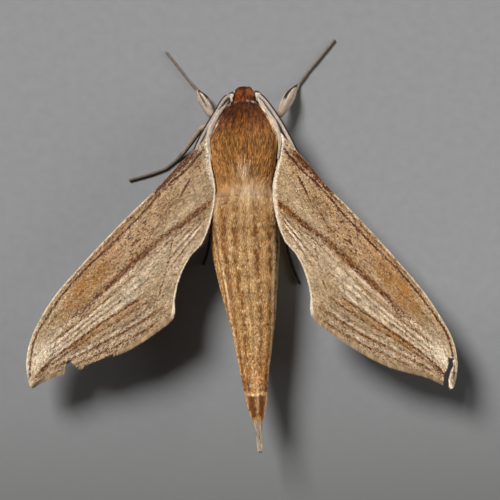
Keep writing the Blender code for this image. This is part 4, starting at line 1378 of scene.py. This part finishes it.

# ---- Legs ------------------------------------------------------------------------------------
# Six walking legs, scaled to the claws: hip, thigh, shin and a five-jointed foot. The fore
# shins are broad and pale with a dark stripe, and the hind feet are painted nearly black as painted shade for
# the wings' shadow.
FOOT_Z = 0.22 - 0.06  # the middle of a foot, in the solid and less its scales
LEG_WIDTHS = (0.36, 0.40, 0.38, 0.32, 0.33, 0.33, 0.28)  # mid and hind legs, down to the ankle
LEGS = {  # x, y and z of each joint, for the fore legs with its radius, then x and y of the foot's
    "leg_fore_right": (
        (
            (0.75, 14.10, 0.98, 0.34), (1.45, 14.75, 1.02, 0.40), (2.70, 14.85, 1.62, 0.38),
            (3.85, 14.78, 2.25, 0.34), (4.22, 15.05, 2.20, 0.46), (4.62, 15.75, 1.80, 0.60),
            (5.06, 16.50, 1.38, 0.70), (5.42, 17.15, 0.98, 0.68), (5.78, 17.72, 0.62, 0.46),
            (6.10, 18.05, 0.42, 0.30),
        ),
        (
            (6.45, 18.40), (7.35, 19.55), (7.60, 19.85), (8.65, 21.00), (9.80, 22.30), (10.85, 23.50),
        ),
    ),
    "leg_fore_left": (
        (
            (-0.75, 14.10, 0.98, 0.34), (-1.45, 14.80, 1.02, 0.40), (-2.55, 15.00, 1.62, 0.38),
            (-3.40, 15.02, 2.15, 0.34), (-3.72, 15.30, 2.10, 0.44), (-4.00, 15.85, 1.72, 0.56),
            (-4.34, 16.50, 1.30, 0.62), (-4.62, 17.10, 0.94, 0.68), (-4.86, 17.55, 0.60, 0.48),
            (-5.08, 17.92, 0.40, 0.30),
        ),
        (
            (-5.20, 18.20), (-5.95, 19.05), (-6.20, 19.35), (-7.05, 20.55), (-7.90, 21.70),
            (-8.75, 22.85),
        ),
    ),
    "leg_mid_left": (
        (
            (-0.85, 11.60, 0.86), (-1.75, 12.40, 0.88), (-3.20, 13.45, 1.55), (-4.45, 13.95, 2.35),
            (-4.95, 13.70, 2.25), (-6.20, 12.20, 1.30), (-7.35, 10.80, 0.50),
        ),
        (
            (-7.95, 10.25), (-9.10, 9.40), (-9.45, 9.20), (-10.90, 8.75), (-12.30, 8.40),
            (-13.60, 8.10),
        ),
    ),
    "leg_mid_right": (
        (
            (0.85, 11.60, 0.86), (1.75, 12.10, 0.88), (3.20, 12.55, 1.55), (4.45, 12.60, 2.35),
            (4.85, 12.20, 2.25), (5.70, 10.60, 1.30), (6.50, 9.10, 0.50),
        ),
        (
            (6.95, 8.45), (7.90, 7.45), (8.20, 7.15), (9.10, 6.30), (9.95, 5.40), (10.70, 4.50),
        ),
    ),
    "leg_hind_right": (
        (
            (0.85, 8.70, 0.86), (1.90, 9.30, 0.90), (3.20, 9.45, 1.55), (4.30, 9.10, 2.05),
            (4.50, 8.60, 1.95), (4.50, 6.20, 1.22), (4.35, 4.10, 0.55),
        ),
        (
            (4.28, 3.30), (4.22, 1.80), (4.24, 1.40), (4.45, -0.50), (5.00, -2.60), (5.70, -4.65),
        ),
    ),
    "leg_hind_left": (
        (
            (-0.85, 8.70, 0.86), (-1.90, 9.30, 0.90), (-3.20, 9.55, 1.55), (-4.30, 9.40, 2.05),
            (-4.60, 9.00, 1.95), (-4.75, 6.80, 1.22), (-4.60, 4.90, 0.55),
        ),
        (
            (-4.50, 4.20), (-4.35, 2.90), (-4.35, 2.50), (-4.45, 0.90), (-4.80, -0.60), (-5.40, -2.05),
        ),
    ),
}
leg_paint = coat_material(
    "leg_scales", paint(172, 156, 138), paint(140, 106, 76), paint(46, 30, 22),
    paint(206, 194, 178), spread=0.7, rough=0.6,
)
for name, (upper, foot) in LEGS.items():
    fore, hind = "fore" in name, "hind" in name
    mirror = -1 if "left" in name else 1
    if not fore:
        upper = [(*joint, radius) for joint, radius in zip(upper, LEG_WIDTHS)]
    foot_widths = (0.27, 0.29 if fore else 0.28, 0.25, 0.27, 0.26, 0.26)
    foot = [(x, y, FOOT_Z, radius - 0.09) for (x, y), radius in zip(foot, foot_widths)]
    surface, whole = limb([*upper, *foot], 0.06)

    def leg_marks(length, turn, whole=whole, fore=fore, hind=hind, mirror=mirror):
        share = length / whole
        foot = ramp(share, 0.52, 0.56)
        across = -mirror * np.cos(turn)  # -1 along the leg's outer edge, 1 along its inner edge
        shin = ramp(share, 0.29, 0.33) * (1 - foot)
        outward = ramp(share, 0.35, 0.39)
        # the black tuft at the end of the shin
        tuft = 1.2 * hump(share, 0.515, 0.016) * ramp(across, -0.3, 0.1)
        if fore and mirror < 0:
            dark = 1.3 * hump(across, -0.10, 0.15) * hump(share, 0.41, 0.095)
            line_at = 0.80 - 0.50 * ramp(share, 0.29, 0.45)  # the white line that crosses to the middle
            dark += 1.1 * ramp(across, line_at + 0.10, line_at + 0.26) * ramp(share, 0.39, 0.43) + tuft
            edges = 1.2 * hump(across, line_at, 0.13)
        elif fore:
            dark = 1.2 * ramp(across, 0.30, 0.42) * (1 - ramp(across, 0.84, 0.94)) * outward + tuft
            edges = hump(across, -0.85, 0.15) + hump(across, 0.20, 0.10) + 0.9 * ramp(across, 0.84, 0.94)
        else:
            dark, edges = 0.30 + 0.65 * ramp(-across, 0.35, 0.70), 0.25 * ramp(across, 0.0, 0.6)
        # painted shade: the hind feet are painted nearly black for the shadow of the wings over them
        dark = dark * shin + (0.95 if hind else 0.55 if fore else 0.7) * foot
        bands = hump((share * 18) % 1.0, 0.5, 0.2)
        pale = 0.85 * edges * shin * (1 - unit(dark)) + (0.25 if fore else 0.1) * bands * foot
        return marks_of(0.25 * (1 - foot), dark, pale, 0.5 + 0 * share)

    leg = skin(f"{name}_skin", surface, 0.0, whole, 200, 14, leg_marks, leg_paint)
    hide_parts(name)
    length, turn, random = scatter((0.05, whole - 0.3), (-math.pi, math.pi), 0.09, 0.17, 111 + len(name))
    marks = leg_marks(length, turn)
    marks["tone"] = 0.5 + 0.7 * jitter(random, length)
    cover = blades(
        f"{name}_scales", surface, (length, turn),
        (0.24 + 0.12 * random.random(length.shape), 0 * turn), (-0.01, 0.02, 0.055), 0.10, 0.012,
        (length / whole, (turn + math.pi) / (2 * math.pi)), marks, leg_paint,
    )

# ---- Floor, light and camera -------------------------------------------------------------------
# A pale floor under the moth, with painted shade that darkens it towards the tail, a soft lamp
# from the upper left and a weak light all round. The camera looks straight down.
bm = bmesh.new()
bmesh.ops.create_grid(bm, x_segments=8, y_segments=8, size=0.6)
bmesh.ops.translate(bm, vec=(0, 0, -0.00002), verts=bm.verts)
floor_paint, tree = material_of("floor_paper", {"Roughness": 0.9, "Specular IOR Level": 0.1})
floor = cast("floor", bm, [floor_paint], smooth_faces=False)
place = node(tree, "ShaderNodeTexCoord")["Object"]
fibres = node(tree, "ShaderNodeTexNoise", {"Scale": 900.0, "Vector": place})["Fac"]
tint = {"Factor": fibres, "A": paint(134, 134, 135), "B": paint(144, 144, 145)}
tint = node(tree, "ShaderNodeMix", tint, data_type="RGBA")["Result"]
# painted shade: the floor darkens towards the tail, like cloth falling away into shade
towards_tail = node(tree, "ShaderNodeSeparateXYZ", {"Vector": place})["Y"]
painted_floor_shade = {"From Min": -0.006, "From Max": -0.030, "Value": towards_tail}
painted_floor_shade = node(tree, "ShaderNodeMapRange", painted_floor_shade)["Result"]
floor_with_shade = {"Factor": painted_floor_shade, "A": tint, "B": paint(112, 112, 111)}
wire(tree, Base_Color=node(tree, "ShaderNodeMix", floor_with_shade, data_type="RGBA")["Result"])
floor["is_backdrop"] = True

for word, energy, spread, way in (
    ("lamp", 4.5, 22.0, (0.66, -0.80, -1.0)), ("side_light", 1.70, 40.0, (-0.95, -0.15, -0.23)),
):
    light = bpy.data.lights.new(word, "SUN")
    light.energy = energy
    light.angle = math.radians(spread)
    stand = shown(word, light)
    stand.rotation_mode = "QUATERNION"
    stand.rotation_quaternion = Vector(way).to_track_quat("-Z", "Y")
    stand.location = (-0.5 * way[0], -0.5 * way[1], 0.5)

world = bpy.data.worlds.new("room")
world.use_nodes = True
world.node_tree.nodes["Background"].inputs["Color"].default_value = (1.0, 0.97, 0.93, 1.0)
world.node_tree.nodes["Background"].inputs["Strength"].default_value = 0.05
bpy.context.scene.world = world
bpy.context.scene.view_settings.view_transform = "Standard"

camera = bpy.data.cameras.new("camera")
camera.sensor_width = 36.0
camera.lens = 186.8
camera.clip_start, camera.clip_end = 0.01, 10.0
camera_stand = shown("camera", camera)
camera_stand.location = (0.001435, -0.000593, 0.300)
camera_stand.rotation_euler = (0.0, 0.0, -0.0390)
bpy.context.scene.camera = camera_stand

low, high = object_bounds()
